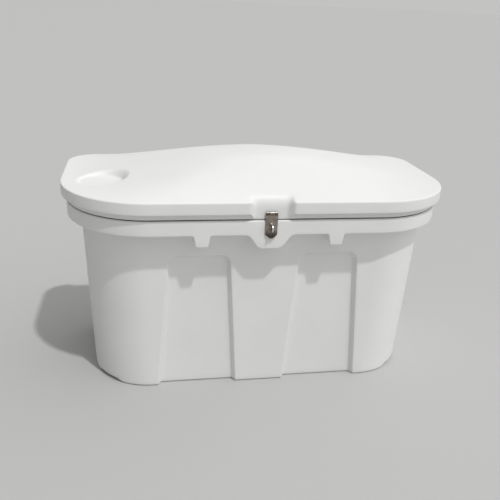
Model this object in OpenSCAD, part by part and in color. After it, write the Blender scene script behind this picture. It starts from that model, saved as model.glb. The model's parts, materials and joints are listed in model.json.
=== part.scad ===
// Moulded dock box with a crowned lid, rear piano hinge, two gas struts and a front hasp.
// Millimetres. X along the length, Y from front to rear, Z up from the deck.

/* [Lid] */
// overall length of the lid
lid_length = 1200; // [1060:2:1320]
// overall depth of the lid, front to rear
lid_depth = 570; // [556:1:600]
// plan radius of the two front corners
lid_front_radius = 262; // [235:1:268]
// plan radius of the two rear corners
lid_rear_radius = 94; // [80:1:98]
// height of the set-back neck band below the rim
neck_height = 18; // [15:0.5:24]
// how far the neck is set back behind the rim face
neck_inset = 18; // [16:0.5:20]
// height of the rim face
rim_height = 35; // [28:0.5:42]
// rise of the crown above the rim
crown_rise = 84; // [70:1:100]
// wall thickness of the lid
lid_wall = 7; // [6:0.1:8]
// depth of the latch pocket behind the rim face
pocket_depth = 16; // [14.5:0.5:17]
// half width of the pocket floor
pocket_floor_half = 47; // [34:1:54]
// how far each pocket side flares outwards
pocket_flare = 17; // [12:1:24]

/* [Dish] */
// distance of the dish from the left end of the lid
dish_from_end = 120; // [114:1:130]
// distance of the dish in front of the middle line
dish_y = 55; // [45:1:60]
// radius of the dish floor
dish_floor_radius = 64; // [50:1:66]
// how far the dish floor lies below the rim top
dish_drop = 1.3; // [0.5:0.1:6]
// flare of the dish wall from floor to lip
dish_flare = 14; // [8:1:15]

/* [Tub] */
// height of the tub up to its top ledge
tub_height = 569.5; // [540:0.5:620]
// wall thickness of the tub
tub_wall = 6; // [5:0.1:7]
// how far the flange face lies behind the lid rim, front and rear
flange_inset_y = 12; // [11:0.5:13.5]
// how far the flange face lies behind the lid rim, at the ends
flange_inset_x = 15; // [13:0.5:17]
// height of the flange face
flange_height = 44.7; // [42:0.1:50]
// how far the flange stands out beyond the front and rear walls
overhang_y = 53; // [49:0.5:55]
// how far the flange stands out beyond the end walls
overhang_x = 41.6; // [39:0.2:44]
// taper of each end wall from top to bottom
end_taper = 21.5; // [16:0.5:26]
// taper of the front and rear walls from top to bottom
side_taper = 2.2; // [1:0.2:6]
// plan radius of the front wall corners
wall_front_radius = 182; // [170:1:190]
// plan radius of the rear wall corners
wall_rear_radius = 45; // [36:1:52]
// width of the top ledge
ledge_width = 30; // [24:0.5:34]
// height of the relief under each front corner
corner_relief = 9; // [4:0.5:11]

/* [Panels] */
// distance of the panel top below the flange
panel_below_flange = 80; // [74:1:110]
// depth of the panels
panel_depth = 16; // [8:0.5:18]
// inner edge of a panel at the foot
panel_inner_foot = 77; // [70:1:82]
// inner edge of a panel at its top
panel_inner_top = 107; // [100:1:112]
// distance of a panel from the wall corner at the foot
panel_corner_foot = 18.9; // [14:0.1:28]
// how far the outer edge of a panel leans inwards up to its top
panel_outer_lean = 34; // [26:1:40]
// radius of the top corners of a panel
panel_round = 27; // [22:1:30]

/* [Boss and tabs] */
// half width of the latch boss where it leaves the flange
boss_top_half = 63; // [56:1:66]
// half width of the latch boss at its foot
boss_foot_half = 34; // [28:1:40]
// how far the latch boss hangs below the flange
boss_drop = 41.5; // [30:0.5:46]
// half width of a tab where it leaves the flange
tab_top_half = 24.5; // [22:0.5:27]
// half width of a tab at its foot
tab_foot_half = 17.7; // [14:0.1:18]
// how far a tab hangs below the flange
tab_drop = 34.4; // [24:0.2:40]

/* [Hinge] */
// distance from each end of the lid to the end of the hinge
hinge_margin = 120; // [120:1:150]
// thickness of the hinge leaves
hinge_leaf = 2; // [1.5:0.1:2.2]
// height of each hinge leaf
hinge_leaf_height = 27; // [25:0.5:28]
// radius of the hinge barrel
hinge_barrel = 4; // [3.8:0.1:4.3]
// radius of the hinge pin
hinge_pin_radius = 2; // [1.6:0.1:2.4]
// number of barrel knuckles, both leaves together
hinge_knuckles = 24; // [20:2:26]
// number of screws in each leaf
hinge_screw_count = 8; // [4:1:9]

/* [Hasp] */
// width of the hasp strap
strap_width = 35; // [33:0.5:40]
// thickness of the hasp strap
strap_thick = 2; // [1.6:0.1:2.4]
// distance from the hasp pin down to the strap tip
strap_reach = 74; // [70:1:78]
// height of the hasp pin above the seam
hasp_pin_rise = 20; // [19:0.5:21]
// radius of the hasp barrel
hasp_barrel = 3.7; // [3.5:0.1:4]
// radius of the hasp pin
hasp_pin_radius = 1.8; // [1.4:0.1:2]
// thickness of the hasp leaf and of the eye plate
hasp_plate = 1.6; // [1.2:0.1:1.8]
// distance from the hasp pin down to the turning eye
eye_below_pin = 42; // [41.5:0.25:43]
// outer radius of the turning eye
eye_radius = 11; // [10:0.25:11.25]
// radius of the padlock hole in the eye
eye_hole = 4.75; // [4:0.25:5]
// thickness of the turning eye
eye_thick = 5; // [4:0.25:5.5]
// radius of the shank of the eye
eye_shank = 3.6; // [3:0.1:3.7]

/* [Struts] */
// distance of each strut from the end wall under the flange
strut_from_wall = 43.4; // [41.4:0.2:47.4]
// distance from the hinge line to each strut pivot
strut_arm = 250; // [247:0.5:253]
// angle between the two pivot arms with the lid shut
strut_angle = 70; // [69:0.5:71]
// height of the lid pivot above the hinge line
strut_lid_rise = 29; // [27:0.5:31]
// radius of the strut tube
tube_radius = 10; // [9:0.25:10.5]
// length of rod that shows between tube and eye with the lid shut
rod_show = 21.6; // [16:0.2:29]
// radius of the strut rod
rod_radius = 4; // [3:0.25:4.25]
// radius of the pivot studs
stud_radius = 4; // [3.5:0.25:4.5]

/* [Deck mount] */
// distance of the deck bolts from the foot of the end walls
deck_bolt_inset = 121.9; // [112:0.1:170]
// spacing of the deck bolts front to rear
deck_bolt_y = 240; // [200:5:260]
// radius of the deck bolt holes
deck_bolt_hole = 5.5; // [4:0.25:6.5]

/* [Hidden] */
arc_steps = 9;
round_steps = 48;
slip = 0.05;
gap = 0.3;
bolt_slack = 0.25;
play = 0.5;

lid_hl = lid_length / 2;
lid_hd = lid_depth / 2;
flange_hl = lid_hl - flange_inset_x;
flange_hd = lid_hd - flange_inset_y;
flange_front_radius = lid_front_radius - flange_inset_y;
flange_rear_radius = lid_rear_radius - flange_inset_y;
flange_z = tub_height - flange_height;
wall_hl = flange_hl - overhang_x;
wall_hd = flange_hd - overhang_y;
foot_hl = wall_hl - end_taper;
bottom_round = 8;
round_share = 1 - sqrt(0.5);
relief_reach = 70;
relief_from = 25;
relief_to = 55;
least_radius = 6;
flange_round = 3.5;
panel_slope = 9;
panel_face_share = 0.85;
panel_outer_foot = foot_hl - wall_front_radius - panel_corner_foot;
panel_outer_top = panel_outer_foot - panel_outer_lean;
tab_x = (panel_inner_top + panel_outer_top) / 2;
deck_bolt_x = 2 * (foot_hl - deck_bolt_inset);

seal_height = 3;
lid_z = tub_height + seal_height + gap;
rim_z = lid_z + neck_height;
rim_top = rim_z + rim_height;
edge_lift = 0.6;
crown_power = 2.65;
crown_ease = 0.95;
ease_start = 20;
ease_reach = 140;
crown_arch = 0.68;
crown_shift = 0.083;
rim_edge = 2;
rim_shoulder = 7;
rim_soft = 1.5;
bed_share = 0.45;

dish_x = lid_hl - dish_from_end;
dish_floor_z = rim_top - dish_drop;
dish_wall_height = 24;
dish_skirt = 4;
dish_shell_radius = dish_floor_radius + dish_flare + dish_skirt;
dish_tilt = 8.5;

pocket_y = lid_hd - pocket_depth;
pocket_neck = 1;
hinge_length = lid_length - 2 * hinge_margin;
hinge_y = flange_hd + hinge_barrel + gap;
hinge_z = tub_height + (seal_height + gap) / 2;
rebate_margin = 10;
rebate_floor_half = hinge_length / 2 + rebate_margin;
rebate_face_half = rebate_floor_half + rebate_margin;

hasp_z = lid_z + hasp_pin_rise;
plate_front = flange_hd + hasp_plate;
strap_back = plate_front + 2 * gap;
strap_front = strap_back + strap_thick;
hasp_y = strap_front - hasp_barrel;
eye_z = hasp_z - eye_below_pin;
eye_gap = 0.8;
eye_web = 3.75;
eye_back = strap_front + eye_gap;
eye_y = eye_back + eye_hole + eye_web;

strut_x = wall_hl - strut_from_wall;
strut_rise_angle = asin(strut_lid_rise / strut_arm);
strut_fall_angle = strut_angle - strut_rise_angle;
lid_pivot = [hinge_y - strut_arm * cos(strut_rise_angle), hinge_z + strut_lid_rise];
tub_pivot = [hinge_y - strut_arm * cos(strut_fall_angle), hinge_z - strut_arm * sin(strut_fall_angle)];
strut_shut = 2 * strut_arm * sin(strut_angle / 2);
strut_lean = atan2(tub_pivot[0] - lid_pivot[0], lid_pivot[1] - tub_pivot[1]);
eye_end_wall = 5;
eye_end_radius = stud_radius + eye_end_wall;
eye_end_width = 10;
tube_neck = 16;
tube_skin = 1.4;
tube_top = strut_shut - tube_neck;
rod_foot = 12.2;
rod_grip = 12;
tube_foot = rod_foot + rod_grip + rod_show;
tube_length = tube_top - tube_foot;
tube_bore = tube_radius - tube_skin;
rod_spare = 9;
rod_top = tube_top - rod_spare;
bracket_plate = 3;
stud_reach = 14;
stud_neck = 3;
stud_collar = stud_radius + 2.5;
stud_outer = strut_x + stud_reach;
stud_inner = strut_x - eye_end_width / 2 - stud_neck;
wall_at_pivot = wall_hl - end_taper * (1 - tub_pivot[1] / flange_z);
tub_pad_face = stud_outer + bracket_plate;
tub_plate_half = 21;
tub_pad_margin = 3;
lid_pad_rise = 20;
lid_pad_margin = 2;
lid_pad_face = lid_pivot[1] + lid_pad_rise;
lid_plate_half_x = 14;
lid_plate_half_y = 23;
lid_plate_x = stud_outer;
lid_plate_y = max(lid_pivot[0], dish_shell_radius - dish_y + gap + lid_pad_margin + lid_plate_half_y);
screw_radius = 2;
head_radius = 3.8;
head_height = 2;
nut_radius = 4.4;
nut_height = 3.2;

// plan outlines

function corner(cx, cy, r, from) =
    [for (i = [0 : arc_steps]) let (a = from + 90 * i / arc_steps) [cx + r * cos(a), cy + r * sin(a)]];

function plan(hl, hd, rf, rr, front, rear) = concat(
    front,
    corner(hl - rf, rf - hd, rf, -90),
    corner(hl - rr, hd - rr, rr, 0),
    rear,
    corner(rr - hl, hd - rr, rr, 90),
    corner(rf - hl, rf - hd, rf, 180));

function mirrored(half) = concat([for (i = [len(half) - 1 : -1 : 0]) [-half[i][0], half[i][1]]], half);

function strip(a, b, n) = [for (j = [0 : n - 1]) let (k = (j + 1) % n)
    each [[a * n + j, b * n + j, b * n + k], [a * n + j, b * n + k, a * n + k]]];

function flatten(rings) = [for (r = rings) each r];

// tub

function step_down(z, top, r) = z <= top - r ? 0 : r - sqrt(max(0, r * r - pow(min(z, top) - top + r, 2)));

function panel_edge(foot, top, z) = foot + (top - foot) * min(z, panel_z) / panel_z;

panel_z = flange_z - panel_below_flange;

// half row of stations along a wall: boss, panel and tab edges, each with its inset
function wall_stations(z, grow, shrink) = let (
    top = panel_z + grow,
    deep_top = top - panel_slope,
    face_cut = panel_face_share * step_down(z, top, panel_round),
    deep_cut = step_down(z, deep_top, panel_round - panel_slope),
    inner = panel_edge(panel_inner_foot, panel_inner_top, z) - grow,
    outer = panel_edge(panel_outer_foot, panel_outer_top, z) + grow,
    d = z <= deep_top ? panel_depth : z >= top ? 0 : panel_depth * (top - z) / panel_slope)
    [[boss_foot_half - shrink, 0], [boss_top_half - shrink, 0],
     [inner + face_cut, 0], [inner + panel_slope + deep_cut, d],
     [tab_x - tab_top_half + shrink, d], [tab_x - tab_foot_half + shrink, d],
     [tab_x + tab_foot_half - shrink, d], [tab_x + tab_top_half - shrink, d],
     [outer - panel_slope - deep_cut, d], [outer - face_cut, 0]];

front_drops = [boss_drop, 0, 0, 0, 0, tab_drop, tab_drop, 0, 0, 0];
rear_drops = [0, 0, 0, 0, 0, tab_drop, tab_drop, 0, 0, 0];

function mirrored_values(half) = concat([for (i = [len(half) - 1 : -1 : 0]) half[i]], half);

no_lift = [for (i = [0 : arc_steps]) 0];

// relief under a front corner, counted from the end wall
function relief(reverse) = [for (i = [0 : arc_steps])
    let (a = 90 * (reverse ? arc_steps - i : i) / arc_steps)
    a > relief_from && a < relief_to ? corner_relief : 0];

function tub_ring(hl, hd, rf, rr, z, stations, hang, lift) = let (
    front = [for (s = mirrored(stations)) [s[0], s[1] - hd]],
    rear = [for (s = mirrored(stations)) [-s[0], hd - s[1]]],
    points = plan(hl, hd, rf, rr, front, rear),
    heights = concat(-hang * mirrored_values(front_drops), lift * relief(true), no_lift,
        -hang * mirrored_values(rear_drops), no_lift, lift * relief(false)))
    [for (i = [0 : len(points) - 1]) [points[i][0], points[i][1], z + heights[i]]];

function wall_ring(z, inset, grow, shrink, hang, lift) = let (fall = 1 - z / flange_z) tub_ring(
    wall_hl - end_taper * fall - inset, wall_hd - side_taper * fall - inset,
    max(wall_front_radius - inset, least_radius), max(wall_rear_radius - inset, least_radius),
    z, wall_stations(z, grow, shrink), hang, lift);

function flange_ring(z, inset, shrink, hang) = tub_ring(
    flange_hl - inset, flange_hd - inset, flange_front_radius - inset, flange_rear_radius - inset,
    z, wall_stations(flange_z, 0, shrink), hang, 0);

panel_slices = [for (a = [0 : 30 : 90]) let (r = panel_round - panel_slope)
    panel_z - panel_slope - r + r * sin(a)];
inner_grow = 5;
inner_shrink = 5;

tub_rings = concat(
    [wall_ring(0, relief_reach, 0, 0, 0, 0),
     wall_ring(0, bottom_round, 0, 0, 0, 1),
     wall_ring(bottom_round * round_share, bottom_round * round_share, 0, 0, 0, 1),
     wall_ring(bottom_round, 0, 0, 0, 0, 1)],
    [for (z = panel_slices) wall_ring(z, 0, 0, 0, 0, 0)],
    [wall_ring(panel_z, 0, 0, 0, 0, 0),
     wall_ring(flange_z, 0, 0, 0, 1, 0),
     flange_ring(flange_z, flange_round, 0, 1),
     flange_ring(flange_z + flange_round, 0, 0, 1),
     flange_ring(tub_height - flange_round, 0, 0, 0),
     flange_ring(tub_height, flange_round, 0, 0),
     flange_ring(tub_height, ledge_width, 0, 0),
     flange_ring(tub_height - tub_wall, ledge_width, 0, 0),
     flange_ring(tub_height - tub_wall, tub_wall, 0, 0),
     flange_ring(flange_z + tub_wall, tub_wall, inner_shrink, 1),
     wall_ring(flange_z + tub_wall, tub_wall, inner_grow, inner_shrink, 1, 0),
     wall_ring(panel_z + inner_grow, tub_wall, inner_grow, inner_shrink, 0, 0)],
    [for (i = [len(panel_slices) - 1 : -1 : 0])
        wall_ring(panel_slices[i] + inner_grow, tub_wall, inner_grow, inner_shrink, 0, 0)],
    [wall_ring(tub_wall + bottom_round, tub_wall, inner_grow, inner_shrink, 0, 1),
     wall_ring(tub_wall, tub_wall + bottom_round, inner_grow, inner_shrink, 0, 1),
     wall_ring(tub_wall, tub_wall + relief_reach, inner_grow, inner_shrink, 0, 0)]);

module tub_shell() {
    n = len(tub_rings[0]);
    last = len(tub_rings) - 1;
    foot = n * len(tub_rings);
    polyhedron(
        points = concat(flatten(tub_rings), [[0, 0, 0], [0, 0, tub_wall]]),
        faces = concat(
            [for (i = [0 : last - 1]) each strip(i, i + 1, n)],
            [for (j = [0 : n - 1]) [foot, j, (j + 1) % n]],
            [for (j = [0 : n - 1]) [foot + 1, last * n + (j + 1) % n, last * n + j]]));
}

module tub() {
    color("white")
    difference() {
        union() {
            tub_shell();
            for (side = [-1, 1])
                tub_pad(side);
        }
        for (x = [-1, 1], y = [-1, 1])
            translate([x * deck_bolt_x / 2, y * deck_bolt_y / 2, -1])
            cylinder(r = deck_bolt_hole, h = tub_wall + 2, $fn = round_steps);
        hinge_holes(hinge_screw_z_tub, flange_hd, tub_wall);
        plate_holes(flange_hd, tub_wall);
        front_hole(0, eye_z, eye_shank + bolt_slack, flange_hd, tub_wall);
        for (side = [-1, 1])
            tub_bracket_spots(side)
            screw_hole(2 * tub_screw_reach);
    }
}

// flat pad inside the end wall under the strut bracket
module tub_pad(side) {
    reach = wall_at_pivot - tub_pad_face - tub_wall / 2;
    side_length = 2 * (tub_plate_half + tub_pad_margin);
    translate([side * (tub_pad_face + reach / 2), tub_pivot[0], tub_pivot[1]])
    cube([reach, side_length, side_length], center = true);
}

module front_hole(x, z, r, face, wall) {
    translate([x, -face - 1, z])
    rotate([-90, 0, 0])
    cylinder(r = r, h = wall + 2, $fn = round_steps);
}

// rim seal on the top ledge

seal_inset = 7;
seal_width = 5;

module seal_outline(inset) {
    polygon(plan(flange_hl - inset, flange_hd - inset, flange_front_radius - inset,
        flange_rear_radius - inset, [], []));
}

module rim_seal() {
    color("dimgray")
    translate([0, 0, tub_height])
    linear_extrude(height = seal_height)
    difference() {
        seal_outline(seal_inset);
        seal_outline(seal_inset + seal_width);
    }
}

// lid

function smooth(t) = let (u = max(0, min(1, t))) u * u * (3 - 2 * u);

// crown profile along the length
function crown_x(x) = let (u = abs(x) / lid_hl)
    crown_arch * (1 - u * u) + (1 - crown_arch) * (1 - smooth((u + crown_shift) / (1 + crown_shift)));

// the crown rises more gently from the front edge than from the rear
function crown_bend(y) = crown_power - crown_ease * smooth((ease_start - y) / ease_reach);

function crown_z(x, y, s) = rim_top + edge_lift + crown_rise * crown_x(x) * (1 - pow(s, crown_bend(y)));

front_half = [[0.5 * pocket_floor_half, 1], [pocket_floor_half, 1], [pocket_floor_half + pocket_flare, 0],
    [0.4 * (lid_hl - lid_front_radius), 0], [0.7 * (lid_hl - lid_front_radius), 0]];
rear_half = [[0.25 * rebate_floor_half, 1], [0.5 * rebate_floor_half, 1], [0.75 * rebate_floor_half, 1],
    [rebate_floor_half, 1], [rebate_face_half, 0]];

// heights along the front of a ring, with the pocket floor at a height of its own
function front_heights(z, pocket_z) = [for (h = mirrored(front_half)) h[1] == 1 ? pocket_z : z];

// one ring of the lid: set back by inset, the pocket floor at a height of its own
function lid_ring(inset, z, pocket_z, wall) = let (
    front = [for (h = mirrored(front_half)) [h[0], h[1] == 1 ? wall - pocket_y : inset - lid_hd]],
    rear = [for (h = mirrored(rear_half)) [-h[0], h[1] == 1 ? flange_hd - wall : lid_hd - inset]],
    rf = lid_front_radius - inset,
    rr = lid_rear_radius - inset,
    points = plan(lid_hl - inset, lid_hd - inset, rf, rr, front, rear),
    heights = front_heights(z, pocket_z))
    [for (i = [0 : len(points) - 1]) [points[i][0], points[i][1], i < len(heights) ? heights[i] : z]];

// one ring of the crown: the outline shrunk by s about the middle
function crown_ring(s, wall) = let (
    deep = (wall - pocket_y) / s,
    back = (flange_hd - wall) / s,
    front = [for (h = mirrored(front_half)) [h[0], h[1] == 1 ? max(-lid_hd, deep) : -lid_hd]],
    rear = [for (h = mirrored(rear_half)) [-h[0], h[1] == 1 ? min(lid_hd, back) : lid_hd]],
    points = plan(lid_hl, lid_hd, lid_front_radius, lid_rear_radius, front, rear))
    [for (p = points) [p[0] * s, p[1] * s, crown_z(p[0] * s, p[1] * s, s) - wall]];

crown_scales = [0.985, 0.965, 0.93, 0.88, 0.83, 0.77, 0.7, 0.62, 0.52, 0.4, 0.25];
inner_scales = [0.25, 0.4, 0.52, 0.62, 0.7, 0.77, 0.83, 0.88, 0.93, 0.965];
pocket_foot = lid_z + pocket_neck;

lid_outer_rings = concat(
    [lid_ring(neck_inset, lid_z, lid_z, 0),
     lid_ring(neck_inset, rim_z, pocket_foot, 0),
     lid_ring(rim_edge, rim_z, pocket_foot, 0),
     lid_ring(0, rim_z + rim_edge, pocket_foot + rim_edge, 0),
     lid_ring(0, rim_top - rim_shoulder, rim_top - rim_shoulder, 0),
     lid_ring(rim_soft, rim_top - rim_edge, rim_top - rim_edge, 0)],
    [for (s = crown_scales) crown_ring(s, 0)]);
inner_top = rim_top - lid_wall - rim_edge;
inner_foot = rim_z + lid_wall;
lid_inner_rings = concat(
    [for (s = inner_scales) crown_ring(s, lid_wall)],
    [lid_ring(lid_wall, inner_top, inner_top, lid_wall),
     lid_ring(lid_wall, inner_foot, inner_foot, lid_wall),
     lid_ring(neck_inset + lid_wall, inner_foot - rim_edge, inner_foot - rim_edge, lid_wall),
     lid_ring(neck_inset + lid_wall, lid_z, lid_z, lid_wall)]);

module lid_shell() {
    rings = concat(lid_outer_rings, lid_inner_rings);
    n = len(rings[0]);
    outer = len(lid_outer_rings);
    last = len(rings) - 1;
    peak = n * len(rings);
    polyhedron(
        points = concat(flatten(rings), [[0, 0, crown_z(0, 0, 0)], [0, 0, crown_z(0, 0, 0) - lid_wall]]),
        faces = concat(
            [for (i = [0 : last]) if (i != outer - 1) each strip(i, (i + 1) % len(rings), n)],
            [for (j = [0 : n - 1]) [peak, (outer - 1) * n + (j + 1) % n, (outer - 1) * n + j]],
            [for (j = [0 : n - 1]) [peak + 1, outer * n + j, outer * n + (j + 1) % n]]));
}

// material under the dish, its top sloped like the crown above it
module dish_shell() {
    translate([-dish_x, -dish_y, 0])
    difference() {
        translate([0, 0, dish_floor_z - lid_wall])
        cylinder(r = dish_shell_radius, h = 2 * dish_wall_height, $fn = 2 * round_steps);
        translate([0, 0, crown_z(-dish_x, -dish_y, dish_x / lid_hl) - bed_share * lid_wall])
        rotate([0, -dish_tilt, 0])
        translate([-2 * dish_shell_radius, -2 * dish_shell_radius, 0])
        cube([4 * dish_shell_radius, 4 * dish_shell_radius, 4 * dish_wall_height]);
    }
}

module dish_cut() {
    translate([-dish_x, -dish_y, dish_floor_z])
    rotate_extrude($fn = 2 * round_steps)
    polygon([[0, 0], [dish_floor_radius, 0], [dish_floor_radius + dish_flare, dish_wall_height],
        [dish_floor_radius + 2 * dish_flare, 2 * dish_wall_height], [0, 2 * dish_wall_height]]);
}

module lid() {
    color("white")
    difference() {
        union() {
            lid_shell();
            dish_shell();
            for (side = [-1, 1])
                lid_pad(side);
        }
        dish_cut();
        hinge_holes(hinge_screw_z_lid, flange_hd, lid_wall);
        hasp_holes(pocket_y, lid_wall);
        for (side = [-1, 1])
            lid_bracket_spots(side)
            screw_hole(2 * lid_screw_reach);
    }
}

// flat pad under the lid for the strut bracket
lid_pad_top = crown_z(lid_plate_x, lid_plate_y, lid_plate_x / lid_hl) - (1 - bed_share) * lid_wall;

module lid_pad(side) {
    translate([side * lid_plate_x, lid_plate_y, (lid_pad_face + lid_pad_top) / 2])
    cube([2 * (lid_plate_half_x + lid_pad_margin), 2 * (lid_plate_half_y + lid_pad_margin),
        lid_pad_top - lid_pad_face], center = true);
}

// rear piano hinge

knuckle_pitch = hinge_length / hinge_knuckles;
hinge_clear = hinge_barrel + play;
hinge_screw_z_tub = hinge_z - hinge_clear - hinge_leaf_height / 2;
hinge_screw_z_lid = hinge_z + hinge_clear + hinge_leaf_height / 2;
hinge_screw_pitch = hinge_length / hinge_screw_count;

function hinge_screw_xs() = [for (i = [0 : hinge_screw_count - 1])
    (i + 0.5) * hinge_screw_pitch - hinge_length / 2];

module hinge_holes(z, face, wall) {
    for (x = hinge_screw_xs())
        translate([x, face + hinge_leaf + 1, z])
        rotate([90, 0, 0])
        cylinder(r = screw_radius + bolt_slack, h = wall + hinge_leaf + 2, $fn = round_steps);
}

module along_x(x, y, z) {
    translate([x, y, z])
    rotate([0, 90, 0])
    children();
}

// up is 1 for the leaf on the lid and -1 for the leaf on the tub
module hinge_leaf(up, first) {
    foot = up > 0 ? hinge_clear : -hinge_clear - hinge_leaf_height;
    difference() {
        union() {
            translate([-hinge_length / 2, flange_hd, hinge_z + foot])
            cube([hinge_length, hinge_leaf, hinge_leaf_height]);
            for (i = [first : 2 : hinge_knuckles - 1])
                translate([i * knuckle_pitch - hinge_length / 2 + gap / 2, 0, 0]) {
                    along_x(0, hinge_y, hinge_z)
                    cylinder(r = hinge_barrel, h = knuckle_pitch - gap, $fn = round_steps);
                    translate([0, flange_hd + gap, up > 0 ? hinge_z : hinge_z - hinge_clear - 1])
                    cube([knuckle_pitch - gap, hinge_leaf - gap, hinge_clear + 1]);
                }
        }
        along_x(-hinge_length / 2 - 1, hinge_y, hinge_z)
        cylinder(r = hinge_pin_radius + slip, h = hinge_length + 2, $fn = round_steps);
        hinge_holes(up > 0 ? hinge_screw_z_lid : hinge_screw_z_tub, flange_hd, 0);
    }
}

module hinge_leaf_tub() {
    color("silver")
    hinge_leaf(-1, 0);
}

module hinge_leaf_lid() {
    color("silver")
    hinge_leaf(1, 1);
}

module hinge_pin() {
    color("silver")
    along_x(-hinge_length / 2, hinge_y, hinge_z)
    cylinder(r = hinge_pin_radius, h = hinge_length, $fn = round_steps);
}

// screw along Z: head on the plane z = 0, shank going down
module pan_screw(length) {
    cylinder(r1 = head_radius, r2 = head_radius - 1, h = head_height, $fn = round_steps);
    translate([0, 0, -length])
    cylinder(r = screw_radius, h = length, $fn = round_steps);
}

module flat_screw(length) {
    translate([0, 0, -hasp_plate])
    cylinder(r1 = screw_radius, r2 = screw_radius + hasp_plate, h = hasp_plate, $fn = round_steps);
    translate([0, 0, -length])
    cylinder(r = screw_radius, h = length, $fn = round_steps);
}

// hexagon nut along Z, on the plane z = 0 and going down
module hex_nut() {
    translate([0, 0, -nut_height])
    difference() {
        cylinder(r = nut_radius, h = nut_height, $fn = 6);
        translate([0, 0, -1])
        cylinder(r = screw_radius + slip, h = nut_height + 2, $fn = round_steps);
    }
}

module rear_spots(z, y) {
    for (x = hinge_screw_xs())
        translate([x, y, z])
        rotate([-90, 0, 0])
        children();
}

module hinge_screws_tub() {
    color("silver")
    rear_spots(hinge_screw_z_tub, flange_hd + hinge_leaf)
    pan_screw(hinge_leaf + tub_wall + nut_height + 1);
}

module hinge_nuts_tub() {
    color("silver")
    rear_spots(hinge_screw_z_tub, flange_hd - tub_wall)
    hex_nut();
}

module hinge_screws_lid() {
    color("silver")
    rear_spots(hinge_screw_z_lid, flange_hd + hinge_leaf)
    pan_screw(hinge_leaf + lid_wall + nut_height + 1);
}

module hinge_nuts_lid() {
    color("silver")
    rear_spots(hinge_screw_z_lid, flange_hd - lid_wall)
    hex_nut();
}

// hasp

strap_half = strap_width / 2;
knuckle_half = 0.23 * strap_width;
hasp_clear = hasp_barrel + play;
leaf_foot = lid_z + 2;
leaf_top = hasp_z - hasp_clear;
hasp_screw_x = 0.3 * strap_width;
hasp_screw_z = (leaf_foot + leaf_top) / 2;

module hasp_spots(y) {
    for (x = [-hasp_screw_x, hasp_screw_x])
        translate([x, -y, hasp_screw_z])
        rotate([90, 0, 0])
        children();
}

module hasp_holes(face, wall) {
    for (x = [-hasp_screw_x, hasp_screw_x])
        front_hole(x, hasp_screw_z, screw_radius + bolt_slack, face, wall);
}

module countersinks() {
    hole = screw_radius + bolt_slack;
    translate([0, 0, -hasp_plate])
    cylinder(r1 = hole, r2 = hole + hasp_plate, h = hasp_plate, $fn = round_steps);
    translate([0, 0, -2 * hasp_plate])
    cylinder(r = hole, h = 2 * hasp_plate, $fn = round_steps);
    cylinder(r = hole + hasp_plate, h = hasp_plate, $fn = round_steps);
}

module hasp_leaf() {
    color("silver")
    difference() {
        union() {
            translate([-strap_half, -pocket_y - hasp_plate, leaf_foot])
            cube([strap_width, hasp_plate, leaf_top - leaf_foot]);
            for (x = [-strap_half, knuckle_half + gap]) {
                along_x(x, -hasp_y, hasp_z)
                cylinder(r = hasp_barrel, h = strap_half - knuckle_half - gap, $fn = round_steps);
                translate([x, -pocket_y - hasp_plate, leaf_top - 1])
                cube([strap_half - knuckle_half - gap, hasp_plate, hasp_clear + 1]);
                translate([x, -hasp_y, hasp_z - hasp_plate / 2])
                cube([strap_half - knuckle_half - gap, hasp_y - pocket_y, hasp_plate]);
            }
        }
        along_x(-strap_half - 1, -hasp_y, hasp_z)
        cylinder(r = hasp_pin_radius + slip, h = strap_width + 2, $fn = round_steps);
        hasp_spots(pocket_y + hasp_plate)
        countersinks();
    }
}

module hasp_pin() {
    color("silver")
    along_x(-strap_half, -hasp_y, hasp_z)
    cylinder(r = hasp_pin_radius, h = strap_width, $fn = round_steps);
}

module hasp_screws() {
    color("silver")
    hasp_spots(pocket_y + hasp_plate)
    flat_screw(hasp_plate + lid_wall + nut_height + 1);
}

module hasp_nuts() {
    color("silver")
    hasp_spots(pocket_y - lid_wall)
    hex_nut();
}

slot_play = 0.6;
slot_half = eye_shank + slot_play;
slot_slack = 1.3;
eye_arm = norm([eye_y - hasp_y, eye_below_pin]);
slot_top = hasp_z - (eye_arm - eye_radius) + slot_slack;
slot_foot = hasp_z - (eye_arm + eye_radius) - slot_slack;
strap_point = 10;
strap_end = 0.12 * strap_width;
strap_lip = 11;
lip_lift = 4.5;
strap_tip = hasp_z - strap_reach;

module hasp_strap() {
    color("silver")
    difference() {
        union() {
            intersection() {
                translate([0, strap_lip - hasp_y, 0])
                rotate([90, 0, 0])
                linear_extrude(height = 4 * strap_lip)
                difference() {
                    polygon([[-strap_half, leaf_top], [-strap_half, strap_tip + strap_point],
                        [-strap_end, strap_tip], [strap_end, strap_tip],
                        [strap_half, strap_tip + strap_point], [strap_half, leaf_top]]);
                    translate([-slot_half, slot_foot])
                    square([2 * slot_half, slot_top - slot_foot]);
                }
                translate([-strap_width, 0, 0])
                rotate([90, 0, 90])
                linear_extrude(height = 2 * strap_width)
                polygon([[-strap_back, leaf_top + 1], [-strap_front, leaf_top + 1],
                    [-strap_front, strap_tip + strap_lip],
                    [-strap_front - lip_lift, strap_tip - 1], [-strap_back - lip_lift, strap_tip - 1],
                    [-strap_back, strap_tip + strap_lip]]);
            }
            along_x(-knuckle_half, -hasp_y, hasp_z)
            cylinder(r = hasp_barrel, h = 2 * knuckle_half, $fn = round_steps);
            translate([-knuckle_half, -strap_front, leaf_top - 1])
            cube([2 * knuckle_half, strap_thick, hasp_clear + 1]);
        }
        along_x(-knuckle_half - 1, -hasp_y, hasp_z)
        cylinder(r = hasp_pin_radius + slip, h = 2 * knuckle_half + 2, $fn = round_steps);
    }
}

// turning eye and the plate it turns in

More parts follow.
